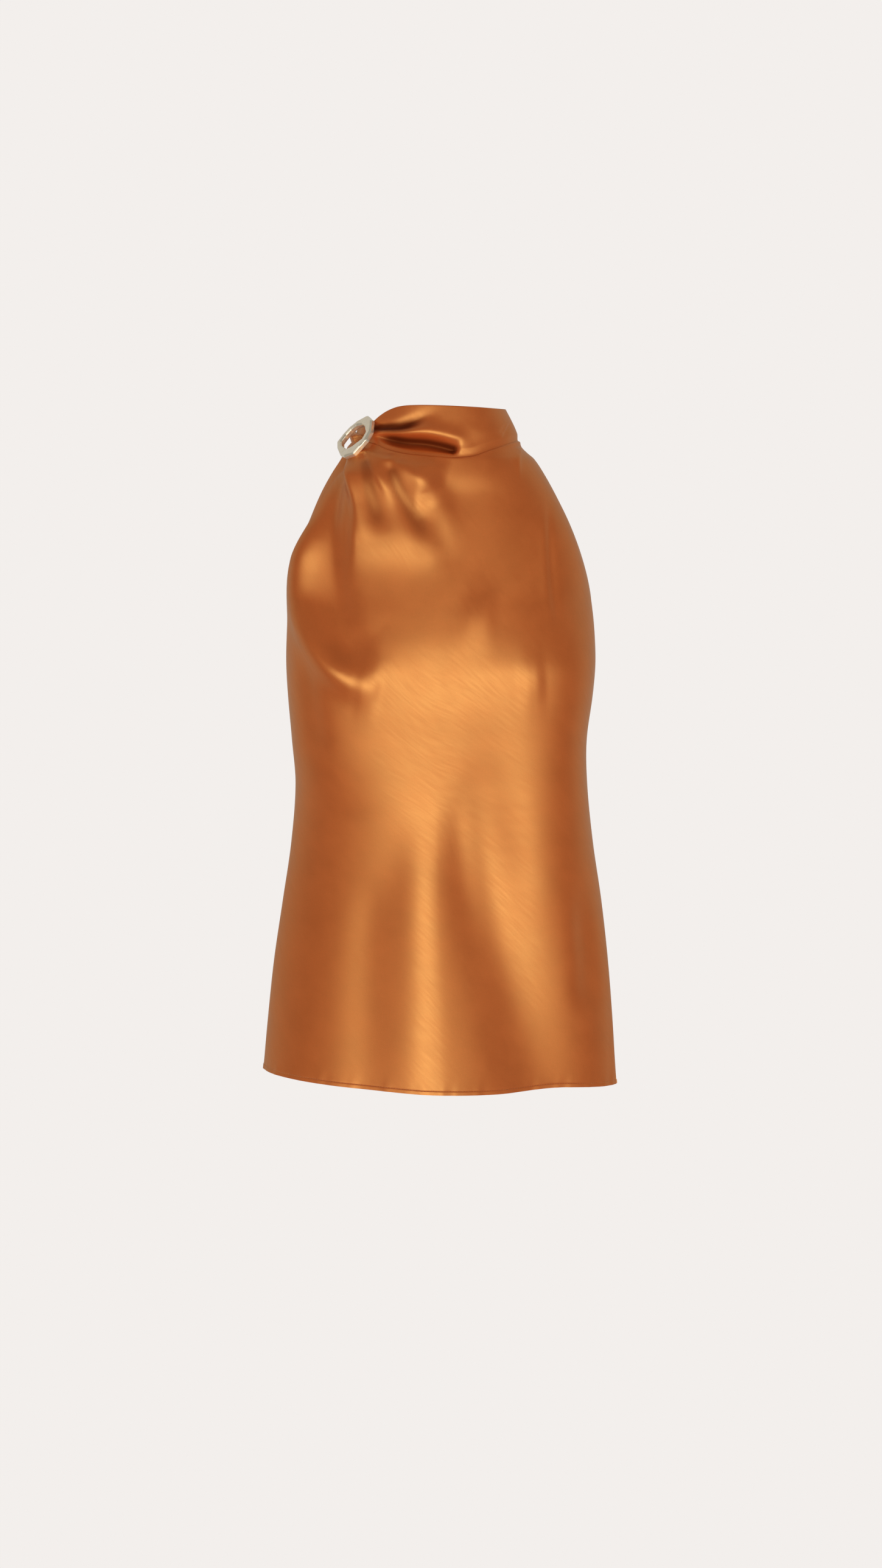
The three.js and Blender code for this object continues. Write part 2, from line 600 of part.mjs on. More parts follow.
add('front_panel', clothWall(frontSurface, FRONT_COLUMNS, FRONT_ROWS, frontPlace), SATIN);
add('back_panel', clothWall(backSurface, BACK_COLUMNS, BACK_ROWS, backPlace), SATIN);
add('collar_front', clothWall(collarFrontSurface, FRONT_COLUMNS, COLLAR_ROWS, collarFrontPlace), SATIN);
add('collar_back', clothWall(collarBackSurface, BACK_COLUMNS, COLLAR_BACK_ROWS, collarBackPlace), SATIN);
add('shoulder_loop', shoulderLoop(), SATIN);
add('ring', ringGeometry(), GOLD);

export default top;
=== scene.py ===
# %% [markdown]
# # A satin top drawn to a ring
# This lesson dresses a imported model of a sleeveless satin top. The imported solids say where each
# piece of cloth lies and how large it is, and stay as they are. Each visible piece is made anew
# as a thin sheet on the form of its solid, because real satin is a third of a millimetre thick
# and shows every soft fold, hem and stitch that a plain wall leaves out.

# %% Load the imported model
import math
from collections import namedtuple
import bpy
import numpy as np
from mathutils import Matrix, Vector


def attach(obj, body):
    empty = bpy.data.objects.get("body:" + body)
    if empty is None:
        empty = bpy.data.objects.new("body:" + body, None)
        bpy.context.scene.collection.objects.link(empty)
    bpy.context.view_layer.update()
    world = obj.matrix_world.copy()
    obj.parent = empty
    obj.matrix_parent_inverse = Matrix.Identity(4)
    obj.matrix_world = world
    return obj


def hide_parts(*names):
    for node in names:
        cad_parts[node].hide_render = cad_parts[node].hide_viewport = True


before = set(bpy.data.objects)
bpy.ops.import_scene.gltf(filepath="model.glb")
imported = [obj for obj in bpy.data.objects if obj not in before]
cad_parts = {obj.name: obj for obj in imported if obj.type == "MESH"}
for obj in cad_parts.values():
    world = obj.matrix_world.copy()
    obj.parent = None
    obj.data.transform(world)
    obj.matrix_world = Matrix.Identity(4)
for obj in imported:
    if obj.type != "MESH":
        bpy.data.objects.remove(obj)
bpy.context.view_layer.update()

# %% [markdown]
# ## Camera
# The top is seen as in a shop window: straight from the front, from just above the collar and
# looking a little down, so that the hem shows as a shallow bow. The lens is long, which keeps
# the shoulders and the hem at nearly the same scale. Turning the camera towards the middle of
# the garment frames it without any lens shift.

# %% Camera
CAMERA_DISTANCE = 3.7
CAMERA_HEIGHT = 0.026
CAMERA_ASIDE = 0.0015
AIM_HEIGHT = -0.345
LENS = 84.5

camera_data = bpy.data.cameras.new("front_camera")
camera_data.lens = LENS
camera = bpy.data.objects.new("front_camera", camera_data)
camera.location = (CAMERA_ASIDE, -CAMERA_DISTANCE, CAMERA_HEIGHT)
aim = Vector((CAMERA_ASIDE, 0, AIM_HEIGHT)) - camera.location
camera.rotation_euler = aim.to_track_quat("-Z", "Y").to_euler()
bpy.context.scene.collection.objects.link(camera)
bpy.context.scene.camera = camera
print("the camera looks down by", round(math.degrees(math.atan(-aim.z / CAMERA_DISTANCE)), 1), "degrees")

# %% [markdown]
# ## Reading small tables
# The form of the garment is given by a few short tables: sections at a row of heights, the line
# of the neckline, the folded edge of the collar. A smooth curve through the rows gives every
# place between them. The curve is cubic, and its slope at a row follows from the rows beside it,
# so that it never swings past them as a free spline can.

# %% Curves through a table
def smooth(value, low, high):
    """Soft step from 0 at low to 1 at high."""
    share = np.clip((value - low) / (high - low), 0, 1)
    return share * share * (3 - 2 * share)


def bell(distance, width):
    """1 at no distance, fading softly to both sides."""
    return np.exp(-((distance / width) ** 2))


def hermite(start, end, leaving, arriving, u):
    """Cubic from start to end, with the slope on leaving and on arriving, at a share u."""
    return (
        start * (2 * u**3 - 3 * u**2 + 1) + end * (3 * u**2 - 2 * u**3)
        + leaving * (u**3 - 2 * u**2 + u) + arriving * (u**3 - u**2)
    )


def curve_through(rows, position, value):
    """Function that reads a smooth curve through one column of a table against another."""
    places = np.array([getattr(row, position) for row in rows], float)
    values = np.array([getattr(row, value) for row in rows], float)
    count = len(rows)
    after = np.minimum(np.arange(count) + 1, count - 1)
    before = np.maximum(np.arange(count) - 1, 0)
    slopes = (values[after] - values[before]) / (places[after] - places[before])

    def read(at):
        at = np.asarray(at, float)
        i = np.clip(np.searchsorted(places, at, side="right") - 1, 0, count - 2)
        span = places[i + 1] - places[i]
        share = np.clip((at - places[i]) / span, 0, 1)
        return hermite(values[i], values[i + 1], slopes[i] * span, slopes[i + 1] * span, share)

    return read


# %% [markdown]
# ## The form that the cloth takes
# All sizes are in millimetres, with heights above the hem, as a pattern cutter gives them. At
# each height the garment is a rounded section: half widths to the wearer's right and left, and
# depths to the front and back. The sections are superellipses, a little squarer than an ellipse.
# At the side seams the two sheets lap by a tenth of a millimetre, so that no light comes through.

# %% Sections of the filled garment
SEAM_LAP = 0.1
NECK_HEIGHT = 643
ARMHOLE_BOTTOM = 484
SHOULDER_CORNER = 626
FRONT_ARMHOLE_SCOOP_RIGHT = 36
FRONT_ARMHOLE_SCOOP_LEFT = 20
BACK_ARMHOLE_SCOOP = 24
BACK_ARMHOLE_INSET = 9
ARMHOLE_SAG = 0.95
ARMHOLE_EASE = 1.5
HEM_TILT = 9
HEM_HALF_WIDTH = 180
HEM_LIFT = 4
HEM_LIFT_PLACE = 128
HEM_LIFT_REACH = 42

Section = namedtuple("Section", "height right left front back")
SECTIONS = [Section(*row) for row in (
    (-20, 182, 182, 111, 113), (0, 180, 180, 110, 112), (60, 174.5, 176, 106.5, 109),
    (120, 168, 171, 103, 105), (180, 159, 164, 100, 100), (240, 150, 155, 98.5, 93),
    (300, 145.3, 148.7, 102, 86), (345, 148.6, 147.8, 108, 83), (390, 152.3, 153.5, 115, 86),
    (418, 153.8, 156, 118, 89.5), (440, 153.7, 156, 115.8, 92), (470, 152, 154, 109.5, 95),
    (500, 147.8, 149.5, 102, 98), (530, 139.8, 141.3, 94, 99), (560, 130.5, 130, 86, 97),
    (590, 118.5, 115.5, 78.5, 93), (610, 108, 104.5, 75.5, 88), (625, 98.5, 94.5, 72, 83),
    (631, 95.5, 87.5, 70, 81), (637, 91, 81.8, 68.5, 79), (644, 86, 80, 67, 77),
    (655, 82, 76, 66, 74), (665, 78, 71.2, 64, 71), (680, 71, 63.2, 61, 67),
)]

Power = namedtuple("Power", "height right left")
SECTION_POWERS = [
    Power(-20, 2.1, 1.6), Power(60, 1.85, 1.66), Power(150, 1.75, 1.85), Power(208, 1.78, 2.25),
    Power(268, 2.1, 2.9), Power(330, 2.8, 3.5), Power(420, 2.9, 3.5), Power(500, 2.35, 2.5),
    Power(680, 2.25, 2.25),
]

power_right, power_left = (curve_through(SECTION_POWERS, "height", side) for side in ("right", "left"))
half_width_right, half_width_left, depth_front, depth_back = (
    curve_through(SECTIONS, "height", column) for column in ("right", "left", "front", "back")
)


# %% Front and back forms
def armhole(height):
    """0 at the side seam and on the shoulder, 1 halfway up the armhole."""
    up = np.clip((height - ARMHOLE_BOTTOM) / (SHOULDER_CORNER - ARMHOLE_BOTTOM), 0, 1)
    return np.sin(np.pi * up**ARMHOLE_SAG) ** ARMHOLE_EASE


def section_bend(height, towards_left):
    """Exponent of the section's sine and cosine on one side at a height."""
    return 2 / np.where(towards_left, power_left(height), power_right(height))


def front_form(turn, height):
    """Points of the front: turn goes from 0 at the wearer's right side to 1 at the left."""
    side = np.cos(np.pi * turn)
    half = np.where(side > 0, half_width_right(height), half_width_left(height))
    scoop = np.where(side > 0, FRONT_ARMHOLE_SCOOP_RIGHT, FRONT_ARMHOLE_SCOOP_LEFT)
    edge = SEAM_LAP / 2 - scoop * armhole(height)
    bend = section_bend(height, side < 0)
    x = -np.sign(side) * half * np.abs(side) ** bend
    y = edge - (depth_front(height) + edge) * np.abs(np.sin(np.pi * turn)) ** bend
    return np.stack([x, y, height + 0 * x], -1)


def back_form(turn, height):
    """Points of the back: turn goes from 0 at the wearer's left side to 1 at the right."""
    side = np.cos(np.pi * turn)
    half = np.where(side > 0, half_width_left(height), half_width_right(height))
    half = half - BACK_ARMHOLE_INSET * armhole(height)
    edge = -SEAM_LAP / 2 + BACK_ARMHOLE_SCOOP * armhole(height)
    bend = section_bend(height, side > 0)
    x = np.sign(side) * half * np.abs(side) ** bend
    y = edge + (depth_back(height) - edge) * np.abs(np.sin(np.pi * turn)) ** bend
    return np.stack([x, y, height + 0 * x], -1)


STEP_TURN = 1e-4
STEP_HEIGHT = 0.05
SHORTEST = 1e-12


def unit(vectors):
    return vectors / np.maximum(np.linalg.norm(vectors, axis=-1, keepdims=True), SHORTEST)


def normal_of(surface, turn, height):
    """Outward normals of a surface that is a function of turn and height."""
    before = np.maximum(turn - STEP_TURN, 0)
    after = np.minimum(turn + STEP_TURN, 1)
    across = surface(after, height) - surface(before, height)
    up = surface(turn, height + STEP_HEIGHT) - surface(turn, height - STEP_HEIGHT)
    return unit(np.cross(across, up))


def displaced(form, amount):
    """The form moved along its normals by amount(x, height, turn)."""

    def surface(turn, height):
        points = form(turn, height)
        return points + normal_of(form, turn, height) * amount(points[..., 0], height, turn)[..., None]

    return surface


# %% [markdown]
# ## Folds
# A fold is a soft ridge or trough along a path. Across the path it has a bell shape, and along it the fold
# widens and fades as real drapery does. Cloth simulation finds its own folds, but here every fold has a
# known place, so each is listed: one row for one fold.

# %% Folds along a path
Fold = namedtuple("Fold", "name depth narrow wide fade_in fade_out path")
FOLD_SAMPLES = 28


def spline_through(path):
    """Points of a centripetal spline through a short path."""
    knots = np.array(path, float)
    first = 2 * knots[0] - knots[1]
    last = 2 * knots[-1] - knots[-2]
    padded = np.vstack([first, knots, last])
    pieces = len(knots) - 1
    samples = []
    for step in range(FOLD_SAMPLES + 1):
        place = pieces * step / FOLD_SAMPLES
        piece = min(int(place), pieces - 1)
        p0, p1, p2, p3 = padded[piece : piece + 4]
        d0, d1, d2 = (math.sqrt(np.linalg.norm(b - a)) for a, b in ((p0, p1), (p1, p2), (p2, p3)))
        t1 = ((p1 - p0) / d0 - (p2 - p0) / (d0 + d1) + (p2 - p1) / d1) * d1
        t2 = ((p2 - p1) / d1 - (p3 - p1) / (d1 + d2) + (p3 - p2) / d2) * d1
        samples.append(hermite(p1, p2, t1, t2, place - piece))
    return np.array(samples)


def fold_field(fold):
    """Height of one fold over places (across, height)."""
    line = spline_through(fold.path)
    starts = line[:-1]
    steps = line[1:] - starts
    lengths = (steps**2).sum(1)

    def field(across, height):
        place = np.stack([across, height], -1).reshape(-1, 1, 2)
        u = np.clip(((place - starts) * steps).sum(-1) / lengths, 0, 1)
        away = np.linalg.norm(place - starts - u[..., None] * steps, axis=-1)
        nearest = away.argmin(1)
        rows = np.arange(len(nearest))
        along = (nearest + u[rows, nearest]) / FOLD_SAMPLES
        width = fold.narrow + (fold.wide - fold.narrow) * along
        strength = fold.depth * bell(away[rows, nearest], width)
        if fold.fade_in:
            strength = strength * smooth(along, 0, fold.fade_in)
        if fold.fade_out:
            strength = strength * (1 - smooth(along, 1 - fold.fade_out, 1))
        return strength.reshape(np.shape(across))

    return field


def fold_sum(folds):
    fields = [fold_field(fold) for fold in folds]

    def total(across, height):
        across, height = np.broadcast_arrays(across, height)
        return sum(field(across, height) for field in fields)

    return total


# %% [markdown]
# The front hangs from the neckline and the ring. Gathers run out of the ring and widen into the
# chest, the bust holds the cloth forward, and the skirt falls in a few long flutes.

# %% Folds of the front
FRONT_FOLDS = [
    Fold("gather trough 1", -2.6, 6, 11, 0.1, 0.4, [(-74, 630), (-69, 600), (-62, 572), (-54, 548)]),
    Fold("gather ridge 2", 2, 5, 14, 0.3, 0.4, [(-64, 628), (-50, 594), (-42, 568), (-28, 534)]),
    Fold("gather trough 2", -2.8, 6, 12, 0.1, 0.4, [(-50, 622), (-36, 590), (-20, 562), (-7, 530)]),
    Fold("gather ridge 3", 4.5, 5, 18, 0.2, 0.4,
         [(-50, 630), (-34, 621), (-12, 602), (0, 579), (6, 553), (4, 525)]),
    Fold("fullness beside the ring", 14, 30, 40, 0.1, 0.35, [(-94, 602), (-60, 608), (-20, 608), (8, 600)]),
    Fold("fullness under the ring", 5, 14, 24, 0.3, 0.35, [(-84, 620), (-83, 590), (-74, 540)]),
    Fold("swell under the gathers", 6, 22, 26, 0.1, 0.3, [(-94, 552), (-50, 550), (-20, 550), (4, 556)]),
    Fold("hollow under the neckline", -5, 5, 9, 0.2, 0.5, [(-46, 626), (-26, 618), (-4, 606)]),
    Fold("long right trough", -8, 9, 26, 0, 0.3,
         [(-95, 626), (-108, 566), (-106, 510), (-98, 470), (-80, 437), (-52, 420)]),
    Fold("right bust band", 11, 9, 17, 0.15, 0.3,
         [(-124, 580), (-138, 508), (-134, 468), (-116, 436), (-90, 412), (-56, 398)]),
    Fold("right side trough", -3, 10, 16, 0.3, 0.3, [(-138, 440), (-128, 380), (-122, 320)]),
    Fold("between the busts", -2, 24, 24, 0.4, 0.4, [(-48, 417), (56, 417)]),
    Fold("bust right", 2.2, 26, 26, 0.4, 0.4, [(-84, 408), (-54, 404)]),
    Fold("bust left", 2.2, 26, 26, 0.4, 0.4, [(74, 410), (106, 412)]),
    Fold("bust middle", 3, 26, 26, 0.4, 0.4, [(16, 474), (60, 470)]),
    Fold("left armhole crease", -1.2, 3, 5, 0.3, 0.3, [(108, 592), (110, 520), (117, 452)]),
    Fold("left armhole ridge", 0.7, 4, 6, 0.3, 0.3, [(102, 588), (104, 520), (110, 455)]),
    Fold("left neckline corner", 1.6, 4, 4, 0.1, 0.6, [(78, 638), (77, 624), (79, 604)]),
    Fold("skirt ridge", 7, 20, 34, 0.4, 0, [(-14, 300), (-17, 208), (-17, 90), (-17, -20)]),
    Fold("skirt hollow", -17, 24, 54, 0.5, 0,
         [(44, 400), (44, 330), (46, 268), (54, 208), (66, 149), (82, 89), (98, 29), (110, -20)]),
    Fold("skirt crease", -2, 8, 20, 0.25, 0.5, [(12, 318), (17, 268), (23, 208), (34, 150), (46, 90)]),
    Fold("skirt right hollow", -2.5, 16, 24, 0.5, 0, [(-64, 230), (-72, 150), (-74, -20)]),
    Fold("left hip trough", -4, 10, 14, 0.4, 0.3, [(138, 215), (150, 130), (156, 60)]),
]

# %% Folds of the collar and the back
COLLAR_FOLDS = [
    Fold("upper crease", -6, 3.6, 8, 0.25, 0.55,
         [(-86, 652), (-62, 656.5), (-40, 657.5), (-26, 661), (-12, 667), (6, 673)]),
    Fold("end drawn under the ring", -2.5, 8, 8, 0, 0.5, [(-84, 660), (-58, 664)]),
    Fold("upper roll", 4, 4, 12, 0.4, 0.6, [(-86, 649.5), (-60, 653), (-32, 654.5), (-8, 659), (24, 663)]),
    Fold("deep trough", -9, 4.5, 6, 0.3, 0.1,
         [(-74, 650), (-53, 646), (-34, 643), (-11, 641), (8, 637), (20, 633)]),
    Fold("middle roll", 3.5, 5, 8, 0.5, 0.3, [(-50, 654), (-30, 653), (-6, 652), (16, 647), (34, 640)]),
    Fold("left side crease", -1.6, 2.5, 4, 0.4, 0.4, [(72, 662), (66, 655), (60, 646)]),
]

BACK_FOLDS = [
    Fold("back skirt trough", -9, 12, 26, 0.3, 0, [(18, 285), (36, 150), (48, -20)]),
    Fold("back skirt ridge", 7, 14, 27, 0.3, 0, [(-22, 265), (-16, 140), (-8, -20)]),
    Fold("back right trough", -8, 10, 24, 0.3, 0, [(-54, 300), (-70, 160), (-84, -20)]),
    Fold("back left ridge", 6, 12, 22, 0.4, 0, [(86, 220), (98, 110), (112, -20)]),
    Fold("small of the back", -5, 22, 26, 0.4, 0.4, [(-70, 330), (0, 316), (72, 336)]),
    Fold("back gather trough 1", -4, 6, 16, 0.2, 0.6, [(-64, 640), (-46, 585), (-24, 505)]),
    Fold("back gather ridge", 3.5, 6, 15, 0.2, 0.6, [(-70, 640), (-66, 580), (-58, 500)]),
    Fold("back gather trough 2", -4, 6, 13, 0.3, 0.5, [(-80, 632), (-90, 570), (-90, 490)]),
    Fold("back left drag", -4, 8, 16, 0.4, 0.5, [(120, 500), (82, 440), (30, 405)]),
]

front_folds = fold_sum(FRONT_FOLDS)
collar_folds = fold_sum(COLLAR_FOLDS)
back_folds = fold_sum(BACK_FOLDS)
print("folds:", len(FRONT_FOLDS), "front,", len(COLLAR_FOLDS), "collar,", len(BACK_FOLDS), "back")

# %% [markdown]
# Fine creases are pressed and pulled into the satin where it is handled: at the ring and at the
# left end of the neckline. They are about a millimetre deep, which is too little for the solids.
# Close to the seam they stay as deep as they are, while the folds above are flattened there.

# %% Fine creases
FRONT_CREASES = [
    Fold("pinch below the ring", -1.1, 1.6, 3, 0.1, 0.5, [(-73, 630), (-63, 610), (-57, 598), (-51, 580)]),
    Fold("lip beside the pinch", 0.8, 1.6, 3, 0.1, 0.5, [(-70, 631), (-60, 611), (-54, 599), (-48, 582)]),
    Fold("left neckline crease", 0.8, 1.3, 1.8, 0.05, 0.6, [(80, 636), (78, 626), (78.5, 612), (80, 600)]),
]

COLLAR_CREASES = [
    Fold("left side lip", 0.8, 1.2, 1.8, 0.3, 0.4, [(69, 663), (66.5, 657), (62, 650), (58, 646)]),
]

BACK_CREASES = [
    Fold("nape drag", -0.8, 3, 7, 0.2, 0.6, [(-30, 636), (-8, 600), (10, 560)]),
]

fine_front = fold_sum(FRONT_CREASES)
fine_collar = fold_sum(COLLAR_CREASES)
fine_back = fold_sum(BACK_CREASES)


# %% [markdown]
# ## Necklines and edges
# The neckline is the seam where the collar is sewn to the front. Folds flatten just below it,
# because stitches hold them, and they fade at the side seams, where both panels must meet.

# %% Seam lines
Edge = namedtuple("Edge", "across height")
FRONT_NECKLINE = [
    Edge(-88, 643), Edge(-68, 641), Edge(-50, 635), Edge(-26, 630),
    Edge(8, 628), Edge(30, 629.5), Edge(50, 635), Edge(80, 643),
]
COLLAR_TOP = [
    Edge(-79, 658), Edge(-72, 660.5), Edge(-64, 665.5), Edge(-55, 673), Edge(-44, 677.5),
    Edge(-26, 679), Edge(8, 678.5), Edge(42, 677), Edge(60, 675.8), Edge(71, 675),
]
NECKLINE_LEVEL = 635
COLLAR_MIDDLE = 665
COLLAR_TOP_BACK = 671
COLLAR_BACK_LAG = 8
COLLAR_BACK_DROP = 1
COLLAR_BACK_BLEND = 0.3
BACK_NECKLINE_RISE = 2
SEAM_CALM = 0.07
STITCHED_SHARE = 0.4
STITCHED_REACH = 14

front_neckline = curve_through(FRONT_NECKLINE, "across", "height")
collar_top = curve_through(COLLAR_TOP, "across", "height")


def hem_height(x):
    lift = HEM_LIFT * bell(x - HEM_LIFT_PLACE, HEM_LIFT_REACH)
    return lift - HEM_TILT * x / HEM_HALF_WIDTH


def calm(turn):
    """Share of a fold that is left near the side seams."""
    return smooth(turn, 0, SEAM_CALM) * smooth(1 - turn, 0, SEAM_CALM)


def stitched_down(below):
    """Share of a fold that is left just below a seam."""
    return STITCHED_SHARE + (1 - STITCHED_SHARE) * smooth(below, 0, STITCHED_REACH)


def front_relief(x, height, turn):
    folds = front_folds(x, height) * stitched_down(front_neckline(x) - height)
    return (folds + fine_front(x, height)) * calm(turn)


def back_relief(x, height, turn):
    folds = back_folds(x, height) * stitched_down(NECK_HEIGHT - height)
    return (folds + fine_back(x, height)) * calm(turn)


def collar_relief(x, height, turn):
    return (collar_folds(x, height) + fine_collar(x, height)) * calm(turn)


front_surface = displaced(front_form, front_relief)
back_surface = displaced(back_form, back_relief)
draped_collar = displaced(front_form, collar_relief)

# %% [markdown]
# ## From a grid of points to a sheet of cloth
# Cloth has two directions, so a grid is the natural mesh for it: rows run round the body and
# columns run up it. The rows crowd together at the hem and the neckline, where the edges are
# turned, and the UV map holds real lengths along the cloth, so that the weave keeps its scale.

# %% Sheets from grids
MILLIMETRE = 0.001
CLOTH = 0.45
COLLAR_CLOTH = 0.4
LOOP_CLOTH = 0.9
CLOTH_SMOOTH_ANGLE = 50


def steps_along(grid, axis):
    """Lengths along the rows (axis 1) or columns (axis 0) of a grid, from its first line."""
    steps = np.linalg.norm(np.diff(grid, axis=axis), axis=-1)
    total = np.cumsum(steps, axis=axis)
    start = np.zeros_like(np.take(total, [0], axis=axis))
    return np.concatenate([start, total], axis=axis)


def grid_normals(grid):
    across = np.gradient(grid, axis=1)
    up = np.gradient(grid, axis=0)
    return unit(np.cross(across, up))


def to_frame(points):
    """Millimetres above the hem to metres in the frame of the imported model."""
    return (points - np.array([0, 0, NECK_HEIGHT])) * MILLIMETRE


def sheet_from_grid(name, grid, thickness=CLOTH):
    """A sheet of cloth on a grid of points, with real lengths as its UV map."""
    rows, columns, _ = grid.shape
    index = np.arange(rows * columns).reshape(rows, columns)
    corners = [index[:-1, :-1], index[:-1, 1:], index[1:, 1:], index[1:, :-1]]
    faces = np.stack(corners, -1).reshape(-1, 4)
    piece = object_from(name, to_frame(grid).reshape(-1, 3).tolist(), faces.tolist())
    round_length = steps_along(grid, 1)
    round_length = round_length - round_length[:, columns // 2 : columns // 2 + 1]
    lengths = np.stack([round_length, steps_along(grid, 0)], -1).reshape(-1, 2) * MILLIMETRE
    layer = piece.data.uv_layers.new(name="cloth")
    layer.data.foreach_set("uv", lengths[faces.ravel()].astype(np.float32).ravel())
    thicken(piece, thickness)
    return piece


def tube_faces(first, rings, sides):
    """Faces between rings of points that follow one another from a first index."""
    return [
        (start + i, start + (i + 1) % sides, start + sides + (i + 1) % sides, start + sides + i)
        for start in range(first, first + (rings - 1) * sides, sides) for i in range(sides)
    ]


def object_with(name, data):
    piece = bpy.data.objects.new(name, data)
    bpy.context.scene.collection.objects.link(piece)
    return piece


def object_from(name, points, faces):
    mesh = bpy.data.meshes.new(name)
    mesh.from_pydata(points, [], faces)
    return object_with(name, mesh)


def only(piece):
    """Selects one piece and makes it active."""
    bpy.ops.object.select_all(action="DESELECT")
    piece.select_set(True)
    bpy.context.view_layer.objects.active = piece


def face_outward(piece):
    only(piece)
    bpy.ops.object.mode_set(mode="EDIT")
    bpy.ops.mesh.select_all(action="SELECT")
    bpy.ops.mesh.normals_make_consistent(inside=False)
    bpy.ops.object.mode_set(mode="OBJECT")


def apply_all(piece):
    only(piece)
    for modifier in list(piece.modifiers):
        bpy.ops.object.modifier_apply(modifier=modifier.name)


def thicken(piece, thickness):
    """Gives a sheet its thickness inwards; the second material goes on the inner face."""
    wall = piece.modifiers.new("thickness", "SOLIDIFY")
    wall.thickness = thickness * MILLIMETRE
    wall.offset = -1
    wall.material_offset = 1
    apply_all(piece)
    bpy.ops.object.shade_smooth_by_angle(angle=math.radians(CLOTH_SMOOTH_ANGLE))
    print(piece.name, "has", len(piece.data.polygons), "faces")


# %% [markdown]
# ## Turned edges
# The hem is a narrow double fold with a line of stitches on it: it stands out a little, the
# stitches pull a fine groove, and the cloth puckers softly beside them. The armhole edges are
# turned in the same way but not stitched through. At a seam the cloth just rolls inwards. All
# of this is a small relief that depends on the distance from the edge, measured along the cloth.

# %% Relief of the edges
HEM_WIDTH = 4.2
HEM_SWELL = 0.45
HEM_FALL_START = 3.5
HEM_FALL_END = 4.7
STITCH_GROOVE = 0.28
STITCH_GROOVE_WIDTH = 0.55
PUCKER = 0.16
PUCKER_REACH = 9
PUCKER_WAVES = ((7.3, 0.4, 0.5), (11.9, 2.1, 0.8), (18.7, 4.4, 1.0), (43, 1.2, 1.5))


def puckers(along):
    """Uneven small waves along a stitched edge: (length, phase, share) of each."""
    return sum(share * np.sin(2 * np.pi * along / length + phase) for length, phase, share in PUCKER_WAVES)


def hem_relief(above, along):
    swell = HEM_SWELL * (1 - smooth(above, HEM_FALL_START, HEM_FALL_END))
    groove = -STITCH_GROOVE * bell(above - HEM_WIDTH, STITCH_GROOVE_WIDTH)
    return swell + groove + PUCKER * puckers(along) * bell(above, PUCKER_REACH)


ARMHOLE_FALL_START = 4
ARMHOLE_FALL_END = 6.5
ARMHOLE_SWELL = 0.3
ARMHOLE_BLEND = 6
EDGE_ROLL = 0.5
EDGE_ROLL_WIDTH = 0.9
SEAM_VALLEY = 0.45
SEAM_VALLEY_WIDTH = 1.6


def side_relief(inside, height):
    """Relief beside a side edge: an armhole above its foot, a seam below it."""
    open_edge = smooth(height, ARMHOLE_BOTTOM - ARMHOLE_BLEND, ARMHOLE_BOTTOM + ARMHOLE_BLEND)
    turned = ARMHOLE_SWELL * (1 - smooth(inside, ARMHOLE_FALL_START, ARMHOLE_FALL_END))
    turned = turned - EDGE_ROLL * bell(inside, EDGE_ROLL_WIDTH)
    seam = -SEAM_VALLEY * bell(inside, SEAM_VALLEY_WIDTH)
    return open_edge * turned + (1 - open_edge) * seam


NECKLINE_ROLL = 1.1
NECKLINE_ROLL_WIDTH = 0.8


def neckline_relief(below):
    return -NECKLINE_ROLL * bell(below, NECKLINE_ROLL_WIDTH)


# %% Rows and columns that crowd at the edges
HEM_ROWS = (0, 0.3, 0.8, 1.5, 2.3, 3.1, 3.6, 3.9, 4.2, 4.5, 4.8, 5.3, 6.2, 7.6, 9.6)
NECKLINE_ROWS = (0, 0.35, 0.7, 1.1, 1.6, 2.4, 3.6)
EDGE_COLUMNS = (0, 0.0012, 0.0026, 0.0045, 0.007, 0.0105, 0.0145, 0.0195)
ROW_CROWDING = 1.3
PANEL_LENGTH = 640
GATHER_CROWDING = 0.4
CROWDING_START = 0.2
CROWDING_END = 0.8


def row_shares(count):
    """Shares of a panel's height, from the hem to the neckline."""
    low = np.array(HEM_ROWS) / PANEL_LENGTH
    high = 1 - np.array(NECKLINE_ROWS)[::-1] / PANEL_LENGTH
    raised = 1 - (1 - np.linspace(0, 1, count + 2)[1:-1]) ** ROW_CROWDING
    middle = low[-1] + (high[0] - low[-1]) * raised
    return np.concatenate([low, middle, high])


def column_shares(count):
    """Shares of the way across a panel, crowded beside both edges."""
    edge = np.array(EDGE_COLUMNS)
    middle = np.linspace(edge[-1], 1 - edge[-1], count + 2)[1:-1]
    return np.concatenate([edge, middle, 1 - edge[::-1]])


def front_turn(across, up):
    return across ** (1 + GATHER_CROWDING * smooth(up, CROWDING_START, CROWDING_END))


# %% [markdown]
# ## Front panel
# The front is the largest piece and carries the whole character of the top, so it gets the
# finest grid. Its upper edge runs from the ring along the neckline to the left shoulder.

# %% Build the front panel
FRONT_COLUMNS = 150
FRONT_ROWS = 200


def edged(grid, heights):
    """The grid with its turned hem, side edges and neckline."""
    round_length = steps_along(grid, 1)
    above = steps_along(grid, 0)
    relief = side_relief(round_length, heights) + side_relief(round_length[:, -1:] - round_length, heights)
    relief = relief + hem_relief(above, round_length) + neckline_relief(above[-1:] - above)
    return grid + grid_normals(grid) * relief[..., None]


up, across = np.meshgrid(row_shares(FRONT_ROWS), column_shares(FRONT_COLUMNS), indexing="ij")
turn = front_turn(across, up)
foot = hem_height(front_form(turn, 0 * turn)[..., 0])
head = front_neckline(front_form(turn, 0 * turn + NECKLINE_LEVEL)[..., 0])
front_heights = foot + (head - foot) * up
front_grid = edged(front_surface(turn, front_heights), front_heights)
satin_front = sheet_from_grid("satin_front", front_grid)

